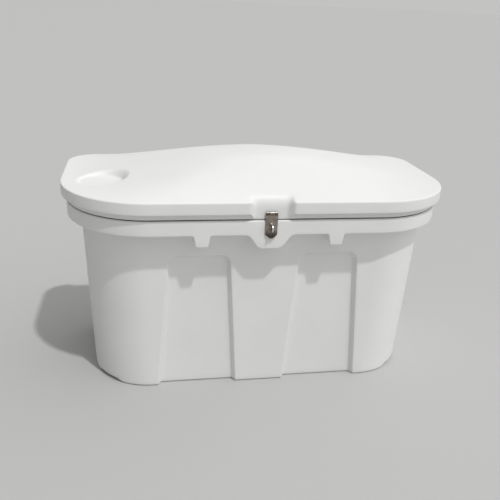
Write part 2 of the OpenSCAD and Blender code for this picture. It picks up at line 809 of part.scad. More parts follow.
plate_margin = 1.5;
plate_below_ledge = 2;
plate_drop = 21;
plate_screw_rise = 7;
plate_half = strap_half - plate_margin;
plate_top = tub_height - 2 * gap - plate_below_ledge;
plate_foot = eye_z - plate_drop;
plate_screw_x = 0.62 * plate_half;
plate_screw_zs = [tub_height - tub_wall - nut_radius - 2 * gap, plate_foot + plate_screw_rise];

module plate_spots(y) {
    for (x = [-plate_screw_x, plate_screw_x], z = plate_screw_zs)
        translate([x, -y, z])
        rotate([90, 0, 0])
        children();
}

module plate_holes(face, wall) {
    for (x = [-plate_screw_x, plate_screw_x], z = plate_screw_zs)
        front_hole(x, z, screw_radius + bolt_slack, face, wall);
}

module eye_plate() {
    color("silver")
    difference() {
        translate([-plate_half, -plate_front, plate_foot])
        cube([2 * plate_half, hasp_plate, plate_top - plate_foot]);
        front_hole(0, eye_z, eye_shank + slip, plate_front, hasp_plate);
        plate_spots(plate_front)
        countersinks();
    }
}

module eye_plate_screws() {
    color("silver")
    plate_spots(plate_front)
    flat_screw(hasp_plate + tub_wall + nut_height + 1);
}

module eye_plate_nuts() {
    color("silver")
    plate_spots(flange_hd - tub_wall)
    hex_nut();
}

eye_nut_back = flange_hd - tub_wall - gap;
eye_nut_height = 5;
eye_nut_radius = 5.4;

module turning_eye() {
    color("silver")
    difference() {
        union() {
            intersection() {
                along_x(-eye_thick / 2, -eye_y, eye_z)
                cylinder(r = eye_radius, h = eye_thick, $fn = 2 * round_steps);
                translate([-eye_radius, -eye_back - 2 * eye_radius, eye_z - eye_radius])
                cube(2 * eye_radius);
            }
            translate([0, -eye_back - 1, eye_z])
            rotate([-90, 0, 0])
            cylinder(r = eye_shank, h = eye_back + 1 - eye_nut_back + eye_nut_height + 1, $fn = round_steps);
        }
        along_x(-eye_radius, -eye_y, eye_z)
        cylinder(r = eye_hole, h = 2 * eye_radius, $fn = round_steps);
    }
}

module eye_nut() {
    color("silver")
    translate([0, -eye_nut_back, eye_z])
    rotate([-90, 0, 0])
    difference() {
        cylinder(r = eye_nut_radius, h = eye_nut_height, $fn = 6);
        translate([0, 0, -1])
        cylinder(r = eye_shank + slip, h = eye_nut_height + 2, $fn = round_steps);
    }
}

// strut brackets

tub_screw_reach = wall_at_pivot - tub_pad_face - 2;
tub_screw_step = 0.66 * tub_plate_half;
lid_screw_reach = lid_pad_top - lid_pad_face - 2;
lid_screw_step = 0.7 * lid_plate_half_y;
lid_screw_x = lid_plate_x - 0.5 * lid_plate_half_x;
stud_head = 2.5;

// places of the screws on the pad face of the tub, Z pointing inwards
module tub_bracket_spots(side) {
    for (y = [-tub_screw_step, tub_screw_step], z = [-tub_screw_step, tub_screw_step])
        translate([side * tub_pad_face, tub_pivot[0] + y, tub_pivot[1] + z])
        rotate([0, -90 * side, 0])
        children();
}

module lid_bracket_spots(side) {
    for (y = [-lid_screw_step, lid_screw_step])
        translate([side * lid_screw_x, lid_plate_y + y, lid_pad_face])
        rotate([180, 0, 0])
        children();
}

// clearance hole for a bracket screw
module screw_hole(length) {
    cylinder(r = screw_radius + bolt_slack, h = length, center = true, $fn = round_steps);
}

module stud(side, pivot) {
    translate([0, pivot[0], pivot[1]])
    rotate([0, 90 * side, 0]) {
        translate([0, 0, stud_inner])
        cylinder(r = stud_radius, h = stud_outer - stud_inner, $fn = round_steps);
        translate([0, 0, stud_inner - stud_head])
        cylinder(r = stud_radius + 2, h = stud_head, $fn = round_steps);
        translate([0, 0, strut_x + eye_end_width / 2 + gap])
        cylinder(r = stud_collar, h = stud_outer - strut_x - eye_end_width / 2 - gap, $fn = round_steps);
    }
}

module bracket_tub(side) {
    stud(side, tub_pivot);
    difference() {
        translate([side * (tub_pad_face - bracket_plate / 2), tub_pivot[0], tub_pivot[1]])
        cube([bracket_plate, 2 * tub_plate_half, 2 * tub_plate_half], center = true);
        tub_bracket_spots(side)
        screw_hole(4 * bracket_plate);
    }
}

module bracket_lid(side) {
    cheek = eye_end_radius + 2;
    stud(side, lid_pivot);
    difference() {
        union() {
            translate([side * lid_plate_x, lid_plate_y, lid_pad_face - bracket_plate / 2])
            cube([2 * lid_plate_half_x, 2 * lid_plate_half_y, bracket_plate], center = true);
            along_x(side * (stud_outer + bracket_plate / 2) - bracket_plate / 2, 0, 0)
            linear_extrude(height = bracket_plate)
            polygon([[cheek - lid_pivot[1], lid_pivot[0]], [-cheek - lid_pivot[1], lid_pivot[0]],
                [bracket_plate - lid_pad_face, lid_plate_y - lid_plate_half_y],
                [1 - lid_pad_face, lid_plate_y - lid_plate_half_y],
                [1 - lid_pad_face, lid_plate_y + lid_plate_half_y],
                [bracket_plate - lid_pad_face + 2, lid_plate_y + lid_plate_half_y]]);
            along_x(side * (stud_outer + bracket_plate / 2) - bracket_plate / 2, lid_pivot[0], lid_pivot[1])
            cylinder(r = cheek, h = bracket_plate, $fn = round_steps);
        }
        lid_bracket_spots(side)
        screw_hole(4 * bracket_plate);
    }
}

module bracket_tub_left() {
    color("gray")
    bracket_tub(-1);
}

module bracket_tub_right() {
    color("gray")
    bracket_tub(1);
}

module bracket_tub_screws() {
    color("silver")
    for (side = [-1, 1])
        tub_bracket_spots(side)
        translate([0, 0, bracket_plate])
        pan_screw(bracket_plate + tub_screw_reach - 1);
}

module bracket_lid_left() {
    color("gray")
    bracket_lid(-1);
}

module bracket_lid_right() {
    color("gray")
    bracket_lid(1);
}

module bracket_lid_screws() {
    color("silver")
    for (side = [-1, 1])
        lid_bracket_spots(side)
        translate([0, 0, bracket_plate])
        pan_screw(bracket_plate + lid_screw_reach - 1);
}

// struts, drawn upwards from the tub pivot and leaned into place

module strut_frame(side) {
    translate([side * strut_x, tub_pivot[0], tub_pivot[1]])
    rotate([strut_lean, 0, 0])
    children();
}

// eye on its pivot with a socket reaching up by h, bored for the rod or closed
module eye_end(h, shank, socket) {
    start = stud_collar + 2 * gap;
    difference() {
        union() {
            along_x(-eye_end_width / 2, 0, 0)
            cylinder(r = eye_end_radius, h = eye_end_width, $fn = round_steps);
            translate([0, 0, start])
            cylinder(r = shank, h = h - start, $fn = round_steps);
        }
        along_x(-eye_end_width, 0, 0)
        cylinder(r = stud_radius + slip, h = 2 * eye_end_width, $fn = round_steps);
        if (socket > 0)
            translate([0, 0, rod_foot - 0.2])
            cylinder(r = socket, h = h, $fn = round_steps);
    }
}

eye_shoulder = rod_radius + 2.5;
piston_height = 8;
rod_slack = 0.4;
gland_height = 10;
gland_lip = 2;

module rod(side) {
    color("lightgray")
    strut_frame(side)
    translate([0, 0, rod_foot])
    cylinder(r = rod_radius, h = rod_top - rod_foot, $fn = round_steps);
}

module rod_eye(side) {
    color("dimgray")
    strut_frame(side)
    eye_end(rod_foot + rod_grip, eye_shoulder, rod_radius + slip);
}

module piston(side) {
    color("gray")
    strut_frame(side)
    translate([0, 0, rod_top - piston_height])
    difference() {
        cylinder(r = tube_bore - rod_slack, h = piston_height, $fn = round_steps);
        translate([0, 0, -1])
        cylinder(r = rod_radius + slip, h = piston_height + 2, $fn = round_steps);
    }
}

module tube(side) {
    color("black")
    strut_frame(side)
    translate([0, 0, tube_foot])
    difference() {
        cylinder(r = tube_radius, h = tube_length, $fn = round_steps);
        translate([0, 0, -1])
        cylinder(r = tube_bore, h = tube_length - 3, $fn = round_steps);
    }
}

module gland(side) {
    color("dimgray")
    strut_frame(side)
    translate([0, 0, tube_foot])
    difference() {
        union() {
            cylinder(r = tube_bore - slip, h = gland_height - gland_lip, $fn = round_steps);
            translate([0, 0, -gland_lip])
            cylinder(r = tube_radius - 0.5, h = gland_lip, $fn = round_steps);
        }
        translate([0, 0, -gland_lip - 1])
        cylinder(r = rod_radius + rod_slack, h = gland_height + 2, $fn = round_steps);
    }
}

module tube_eye(side) {
    color("dimgray")
    strut_frame(side)
    translate([0, 0, strut_shut])
    rotate([180, 0, 0])
    eye_end(strut_shut - tube_top, eye_shoulder, 0);
}

module rod_left() { rod(-1); }
module rod_eye_left() { rod_eye(-1); }
module piston_left() { piston(-1); }
module tube_left() { tube(-1); }
module gland_left() { gland(-1); }
module tube_eye_left() { tube_eye(-1); }
module rod_right() { rod(1); }
module rod_eye_right() { rod_eye(1); }
module piston_right() { piston(1); }
module tube_right() { tube(1); }
module gland_right() { gland(1); }
module tube_eye_right() { tube_eye(1); }

tub();
rim_seal();
lid();
hinge_leaf_tub();
hinge_leaf_lid();
hinge_pin();
hinge_screws_tub();
hinge_nuts_tub();
hinge_screws_lid();
hinge_nuts_lid();
hasp_leaf();
hasp_pin();
hasp_strap();
hasp_screws();
hasp_nuts();
eye_plate();
eye_plate_screws();
eye_plate_nuts();
turning_eye();
eye_nut();
bracket_tub_left();
bracket_tub_right();
bracket_tub_screws();
bracket_lid_left();
bracket_lid_right();
bracket_lid_screws();
rod_left();
rod_eye_left();
piston_left();
tube_left();
gland_left();
tube_eye_left();
rod_right();
rod_eye_right();
piston_right();
tube_right();
gland_right();
tube_eye_right();
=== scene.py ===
"""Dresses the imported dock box: smooth moulded shells, steel hardware, struts, camera and studio."""

import json
import logging
import math
from dataclasses import dataclass, field
from enum import Enum
from typing import Any, Callable, Mapping, Sequence

import bmesh
import bpy
import numpy as np
from mathutils import Matrix, Vector
from mathutils.geometry import delaunay_2d_cdt

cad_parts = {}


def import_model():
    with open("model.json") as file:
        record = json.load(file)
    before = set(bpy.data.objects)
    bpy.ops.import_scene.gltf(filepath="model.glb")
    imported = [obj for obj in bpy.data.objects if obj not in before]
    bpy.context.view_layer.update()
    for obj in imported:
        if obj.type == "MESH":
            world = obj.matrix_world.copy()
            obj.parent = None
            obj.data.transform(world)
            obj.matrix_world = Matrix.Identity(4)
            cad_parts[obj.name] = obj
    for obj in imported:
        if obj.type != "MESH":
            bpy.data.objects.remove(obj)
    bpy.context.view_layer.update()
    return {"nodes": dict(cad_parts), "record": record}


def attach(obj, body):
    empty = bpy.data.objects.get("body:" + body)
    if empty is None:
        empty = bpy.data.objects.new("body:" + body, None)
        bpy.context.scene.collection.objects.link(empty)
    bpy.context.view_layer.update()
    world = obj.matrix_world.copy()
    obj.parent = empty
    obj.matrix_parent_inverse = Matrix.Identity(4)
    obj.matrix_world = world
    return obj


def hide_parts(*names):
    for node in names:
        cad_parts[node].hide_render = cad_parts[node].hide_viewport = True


LOG = logging.getLogger("dock_box")
MM = 0.001
Colour = tuple[float, float, float]
Ring = np.ndarray


class Slot(Enum):
    """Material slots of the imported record."""

    SHELL = "moulded_shell"
    SEAL = "seal_rubber"
    STEEL = "stainless"
    TUBE = "strut_black"
    ROD = "rod_chrome"
    FITTING = "end_fitting"
    BRACKET = "bracket_zinc"
    SCREW = "screw_steel"


class Body(Enum):
    """Bodies that the pieces ride on."""

    TUB = "tub_body"
    LID = "lid_body"
    STRAP = "strap_body"
    EYE = "eye_body"


# shader maths


class Sock:
    """A shader socket whose arithmetic adds Math nodes to its tree."""

    def __init__(self, graph: "Graph", socket: bpy.types.NodeSocket) -> None:
        """Keeps the socket and the graph that it belongs to."""
        self.graph = graph
        self.socket = socket

    def _math(self, operation: str, first: Any, second: Any) -> "Sock":
        """Adds one Math node.

        Args:
            operation: the node's operation.
            first: socket or number for the first input.
            second: socket or number for the second input.

        Returns:
            The node's result.
        """
        return self.graph.add("ShaderNodeMath", {"operation": operation}, {0: first, 1: second})

    def __add__(self, other: Any) -> "Sock":
        """Sum."""
        return self._math("ADD", self, other)

    def __radd__(self, other: Any) -> "Sock":
        """Sum with a number on the left."""
        return self._math("ADD", other, self)

    def __sub__(self, other: Any) -> "Sock":
        """Difference."""
        return self._math("SUBTRACT", self, other)

    def __rsub__(self, other: Any) -> "Sock":
        """Difference from a number."""
        return self._math("SUBTRACT", other, self)

    def __mul__(self, other: Any) -> "Sock":
        """Product."""
        return self._math("MULTIPLY", self, other)

    def __rmul__(self, other: Any) -> "Sock":
        """Product with a number on the left."""
        return self._math("MULTIPLY", other, self)

    def ramp(self, low: float, high: float) -> "Sock":
        """Smooth step of this value.

        Args:
            low: value that gives 0.
            high: value that gives 1.

        Returns:
            A value from 0 to 1.
        """
        return self.graph.add("ShaderNodeMapRange", {"interpolation_type": "SMOOTHSTEP"},
                              {"Value": self, "From Min": low, "From Max": high})


class Graph:
    """Node tree of one material, grown through one method."""

    def __init__(self, name: str) -> None:
        """Makes an empty material with a Principled shader.

        Args:
            name: the material's name.
        """
        self.material = bpy.data.materials.new(name)
        self.material.use_nodes = True
        self.tree = self.material.node_tree
        self.tree.nodes.clear()
        self.shader = self.tree.nodes.new("ShaderNodeBsdfPrincipled")
        output = self.tree.nodes.new("ShaderNodeOutputMaterial")
        self.tree.links.new(self.shader.outputs[0], output.inputs["Surface"])

    @classmethod
    def of_tree(cls, tree: bpy.types.NodeTree) -> "Graph":
        """Graph on a tree that already has its shader."""
        graph = cls.__new__(cls)
        graph.tree = tree
        return graph

    def set(self, node: bpy.types.Node, key: str | int, value: Any) -> None:
        """Links or sets one input of a node.

        Args:
            node: the node.
            key: the input's name or number.
            value: a Sock to link, or a plain value.
        """
        if isinstance(value, Sock):
            self.tree.links.new(value.socket, node.inputs[key])
        elif isinstance(value, tuple) and len(value) == 3 and node.inputs[key].type == "RGBA":
            node.inputs[key].default_value = (*value, 1.0)
        else:
            node.inputs[key].default_value = value

    def add(self, kind: str, settings: Mapping[str, Any], sockets: Mapping[str | int, Any],
            out: str | int = 0) -> Sock:
        """Adds a node of any type.

        Args:
            kind: the node's type.
            settings: its properties, set first.
            sockets: values or links of its inputs.
            out: the output that is returned.

        Returns:
            The chosen output.
        """
        node = self.tree.nodes.new(kind)
        for name, value in settings.items():
            setattr(node, name, value)
        for key, value in sockets.items():
            self.set(node, key, value)
        return Sock(self, node.outputs[out])

    def place(self, stretch: tuple[float, float, float] = (1.0, 1.0, 1.0)) -> Sock:
        """Point on the piece in metres.

        Args:
            stretch: factor along each axis, for brushed or streaked patterns.

        Returns:
            The stretched object coordinates.
        """
        point = self.add("ShaderNodeTexCoord", {}, {}, "Object")
        return self.add("ShaderNodeVectorMath", {"operation": "MULTIPLY"}, {0: point, 1: stretch})

    def noise(self, scale: float, detail: float = 3.0,
              stretch: tuple[float, float, float] = (1.0, 1.0, 1.0)) -> Sock:
        """Cloudy noise.

        Args:
            scale: features per metre.
            detail: number of finer layers.
            stretch: factor along each axis.

        Returns:
            A value about 0.5.
        """
        return self.add("ShaderNodeTexNoise", {},
                        {"Vector": self.place(stretch), "Scale": scale, "Detail": detail})

    def mix(self, factor: Any, first: Any, second: Any) -> Sock:
        """Blend of two colours.

        Args:
            factor: share of the second colour.
            first: colour or socket.
            second: colour or socket.

        Returns:
            The blended colour.
        """
        return self.add("ShaderNodeMix", {"data_type": "RGBA"}, {0: factor, 6: first, 7: second}, 2)

    def bump(self, height: Sock, depth: float, strength: float) -> Sock:
        """Bumped normal.

        Args:
            height: the height pattern.
            depth: height of the pattern in metres.
            strength: share of the effect.

        Returns:
            The normal for the shader.
        """
        return self.add("ShaderNodeBump", {}, {"Height": height, "Distance": depth, "Strength": strength})

    def finish(self, **inputs: Any) -> bpy.types.Material:
        """Sets the shader's inputs.

        Args:
            **inputs: socket names with underscores for spaces, and their values.

        Returns:
            The finished material.
        """
        for name, value in inputs.items():
            self.set(self.shader, name.replace("_", " "), value)
        return self.material


# finishes


@dataclass(frozen=True)
class MouldedPlastic:
    """White moulded polyethylene with a fine satin texture."""

    white: Colour = (0.83, 0.83, 0.82)
    cream: Colour = (0.79, 0.785, 0.77)
    grain: float = 700.0
    grain_depth: float = 0.00012

    def material(self) -> bpy.types.Material:
        """Builds the material."""
        g = Graph("moulded_plastic")
        cloud = g.noise(5.0, 4.0)
        fine = g.noise(self.grain, 2.0)
        ripple = g.noise(38.0, 2.0)
        dust = g.noise(95.0, 6.0).ramp(0.58, 0.8) * 0.35
        colour = g.mix(cloud.ramp(0.35, 0.7) * 0.5 + dust * 0.35, self.white, self.cream)
        height = fine + ripple * 2.2
        return g.finish(Base_Color=colour, Roughness=0.36 + fine * 0.1 + cloud * 0.1,
                        Normal=g.bump(height, self.grain_depth, 0.35), IOR=1.5)


@dataclass(frozen=True)
class BrushedSteel:
    """Stainless sheet, brushed and a little tarnished, with painted light: a painted dark reflection towards
    its foot, a painted shadow line under a crease and painted shade on faces that turn sideways.
    """

    name: str = "brushed_steel"
    light: Colour = (0.40, 0.355, 0.315)
    dark: Colour = (0.16, 0.135, 0.115)
    along: tuple[float, float, float] = (1.0, 1.0, 0.04)
    rough: float = 0.24
    # painted dark reflection: the sheet is darkened below these heights
    foot: tuple[float, float] = (0.0, 0.01)  # heights of full and no darkening
    # painted shadow line: heights between which the crease under the knuckle is painted dark
    painted_shadow_line: tuple[float, float] = (0.0, 0.01)  # heights of a dark line
    # share of painted shade on faces that turn sideways
    sides: float = 0.0

    def material(self) -> bpy.types.Material:
        """Builds the material."""
        g = Graph(self.name)
        streak = g.noise(1900.0, 3.0, self.along)
        stain = g.noise(95.0, 4.0)
        height = g.add("ShaderNodeSeparateXYZ", {}, {0: g.place()}, "Z")
        # painted dark reflection on the foot: full at the lower height, none above the upper one
        low = 1.0 - height.ramp(*self.foot)
        tarnish = stain.ramp(0.4, 0.72) * 0.5 + streak.ramp(0.4, 0.75) * 0.3
        colour = g.mix(tarnish, self.light, self.dark)
        # painted shadow line under the knuckle
        groove = height.ramp(self.painted_shadow_line[0], self.painted_shadow_line[0] + 0.0015) * (
            1.0 - height.ramp(self.painted_shadow_line[1] - 0.001, self.painted_shadow_line[1]))
        # painted shade: faces whose normal turns sideways are darkened
        normal = g.add("ShaderNodeNewGeometry", {}, {}, "Normal")
        across = g.add("ShaderNodeSeparateXYZ", {}, {0: normal}, "X")
        painted_side_shade = (across * across).ramp(0.3, 0.9) * self.sides
        # the painted reflection, painted shadow line and painted side shade pull the colour towards near
        # black
        colour = g.mix(low * 0.85 + groove * 0.85 + painted_side_shade, colour, tuple(0.25 * c for c in self.dark))
        return g.finish(Base_Color=colour, Metallic=1.0, Roughness=self.rough + streak * 0.14 + stain * 0.08,
                        Normal=g.bump(streak, 0.00004, 0.4))


@dataclass(frozen=True)
class Pattern:
    """Noise pattern: features per metre, finer layers and stretch along each axis."""

    scale: float
    detail: float
    stretch: tuple[float, float, float] = (1.0, 1.0, 1.0)


@dataclass(frozen=True)
class Mottled:
    """Finish of two colours that blend in clouds, over a fine grain that also gives the bump."""

    name: str
    light: Colour
    dark: Colour
    cloud: Pattern
    blend: tuple[float, float, float]  # cloud values of no and full blend, share of it
    grain: Pattern
    bump: tuple[float, float]  # depth in metres, strength
    rough: float
    rough_cloud: float = 0.0
    rough_grain: float = 0.0
    fleck: tuple[float, float, float] = (0.55, 0.8, 0.0)  # the same for the grain
    metal: float = 0.0
    coat: float = 0.0

    def material(self) -> bpy.types.Material:
        """Builds the material."""
        g = Graph(self.name)
        cloud = g.noise(self.cloud.scale, self.cloud.detail, self.cloud.stretch)
        grain = g.noise(self.grain.scale, self.grain.detail, self.grain.stretch)
        share = cloud.ramp(*self.blend[:2]) * self.blend[2] + grain.ramp(*self.fleck[:2]) * self.fleck[2]
        rough = self.rough + cloud * self.rough_cloud + grain * self.rough_grain
        return g.finish(Base_Color=g.mix(share, self.light, self.dark), Metallic=self.metal, Roughness=rough,
                        Coat_Weight=self.coat, Normal=g.bump(grain, *self.bump))


ALONG_ROD = Pattern(2400.0, 2.0, (1.0, 0.05, 0.05))
ALONG_FIBRE = Pattern(800.0, 4.0, (1.0, 1.0, 0.25))
SCREW_STEEL = Mottled("screw_steel", (0.66, 0.65, 0.62), (0.40, 0.385, 0.36), Pattern(140.0, 3.0),
                      (0.42, 0.75, 0.6), Pattern(900.0, 3.0), (0.00003, 0.3), 0.24, rough_grain=0.2,
                      metal=1.0)
ZINC_PLATE = Mottled("zinc_plate", (0.62, 0.63, 0.64), (0.44, 0.45, 0.46), Pattern(130.0, 5.0),
                     (0.35, 0.68, 1.0), Pattern(1500.0, 2.0), (0.00003, 0.35), 0.32, rough_cloud=0.22,
                     metal=1.0)
TUBE_PAINT = Mottled("tube_paint", (0.022, 0.022, 0.024), (0.05, 0.05, 0.053),
                     Pattern(45.0, 5.0, (1.0, 1.0, 0.3)), (0.5, 0.78, 1.0), Pattern(420.0, 2.0),
                     (0.00005, 0.3), 0.3, rough_cloud=0.16, coat=0.25)
POLISHED_ROD = Mottled("polished_rod", (0.78, 0.78, 0.80), (0.62, 0.62, 0.64), ALONG_ROD, (0.45, 0.8, 0.6),
                       ALONG_ROD, (0.00001, 0.2), 0.06, rough_grain=0.08, metal=1.0)
BLACK_NYLON = Mottled("black_nylon", (0.035, 0.035, 0.036), (0.075, 0.075, 0.076), ALONG_FIBRE,
                      (0.5, 0.8, 1.0), ALONG_FIBRE, (0.00006, 0.4), 0.5, rough_grain=0.2)
SEAL_RUBBER = Mottled("seal_rubber", (0.045, 0.045, 0.045), (0.11, 0.108, 0.105), Pattern(30.0, 5.0),
                      (0.45, 0.75, 0.6), Pattern(1300.0, 3.0), (0.00015, 0.5), 0.72, rough_grain=0.2,
                      fleck=(0.55, 0.8, 0.3))


# shape maths


def smooth(value: np.ndarray | float) -> Any:
    """Smooth step of a value that is cut to 0 and 1."""
    t = np.clip(value, 0.0, 1.0)
    return t * t * (3.0 - 2.0 * t)


def soft_min(a: np.ndarray, b: np.ndarray, round_: float) -> np.ndarray:
    """Lower of two heights with a rounded crossing.

    Args:
        a: first heights.
        b: second heights.
        round_: width of the rounding.

    Returns:
        The blended heights.
    """
    h = np.maximum(round_ - np.abs(a - b), 0.0) / round_
    return np.minimum(a, b) - h * h * round_ / 4.0


def filleted(corners: Sequence[tuple[float, float, float]], counts: Sequence[int],
             steps: int = 6) -> tuple[np.ndarray, np.ndarray]:
    """Samples a polyline with rounded corners.

    Args:
        corners: (x, y, radius) of each corner; the ends have radius 0.
        counts: number of steps on each straight.
        steps: number of steps on each rounding.

    Returns:
        The points, and at each the unit normal to the left of the path.
    """
    at = np.array([c[:2] for c in corners], float)
    along = np.diff(at, axis=0)
    along /= np.linalg.norm(along, axis=1)[:, None]
    left = np.stack([-along[:, 1], along[:, 0]], axis=1)
    trim = np.zeros(len(at))
    turn = np.zeros(len(at))
    for k in range(1, len(at) - 1):
        cross = along[k - 1, 0] * along[k, 1] - along[k - 1, 1] * along[k, 0]
        turn[k] = math.atan2(cross, float(along[k - 1] @ along[k]))
        trim[k] = corners[k][2] * math.tan(abs(turn[k]) / 2.0)
    points: list[np.ndarray] = []
    normals: list[np.ndarray] = []
    for k, count in enumerate(counts):
        a = at[k] + along[k] * trim[k]
        b = at[k + 1] - along[k] * trim[k + 1]
        skip = 1 if k and trim[k] == 0.0 else 0
        for t in np.linspace(0.0, 1.0, count + 1)[skip:]:
            points.append(a + (b - a) * t)
            normals.append(left[k])
        if k + 1 < len(counts) and trim[k + 1] > 0.0:
            radius = corners[k + 1][2] * math.copysign(1.0, turn[k + 1])
            centre = b + left[k] * radius
            for i in range(1, steps):
                w = turn[k + 1] * i / steps
                n = np.array([left[k][0] * math.cos(w) - left[k][1] * math.sin(w),
                              left[k][0] * math.sin(w) + left[k][1] * math.cos(w)])
                points.append(centre - n * radius)
                normals.append(n)
    return np.array(points), np.array(normals)


def doubled(points: np.ndarray) -> np.ndarray:
    """Adds the mirror image of a half path that starts on the middle line, as its left half."""
    return np.concatenate([points[:0:-1] * np.array([-1.0, 1.0]), points])


def raised(plan: np.ndarray, z: np.ndarray | float) -> Ring:
    """Points in plan lifted to one height, or to a height each."""
    return np.column_stack([plan, z + np.zeros(len(plan))])


def unit_circle(around: int) -> np.ndarray:
    """Points on a circle of radius 1, counterclockwise."""
    turn = np.linspace(0.0, 2 * math.pi, around, endpoint=False)
    return np.stack([np.cos(turn), np.sin(turn)], axis=1)


@dataclass(frozen=True)
class Plan:
    """Oblong with round corners seen from above, sampled in one order at every size."""

    arc: int = 20
    end: int = 14

    def ring(self, hl: float, hd: float, rf: float, rr: float, front: np.ndarray, rear: np.ndarray) -> Ring:
        """Closes the outline round given front and rear lines.

        Args:
            hl: half length.
            hd: half depth.
            rf: radius of the front corners.
            rr: radius of the rear corners.
            front: points along the front, left to right.
            rear: points along the rear, left to right.

        Returns:
            Points in plan, counterclockwise from the front left.
        """
        turn = np.radians(np.linspace(0.0, 90.0, self.arc + 2)[1:-1])
        t = np.linspace(0.0, 1.0, self.end + 1)
        fr = np.stack([hl - rf + rf * np.sin(turn), rf - hd - rf * np.cos(turn)], axis=1)
        side = np.stack([np.full_like(t, hl), (rf - hd) + (2 * hd - rf - rr) * t], axis=1)
        rc = np.stack([hl - rr + rr * np.cos(turn), hd - rr + rr * np.sin(turn)], axis=1)
        flip = np.array([-1.0, 1.0])
        return np.concatenate([front, fr, side, rc, rear[::-1], rc[::-1] * flip, side[::-1] * flip,
                               fr[::-1] * flip])

    def spread(self, front: np.ndarray, rear: np.ndarray, rest: float = 0.0,
               corner: np.ndarray | None = None) -> np.ndarray:
        """Lays values of the front and rear stations out round the whole outline.

        Args:
            front: values along the front.
            rear: values along the rear, left to right.
            rest: value on the ends and corners.
            corner: values over a front corner, counted from the front.

        Returns:
            One value for each point of a ring.
        """
        plain = np.full(self.arc, rest)
        near = plain if corner is None else corner
        side = np.full(self.end + 1, rest)
        return np.concatenate([front, near, side, plain, rear[::-1], plain, side, near[::-1]])


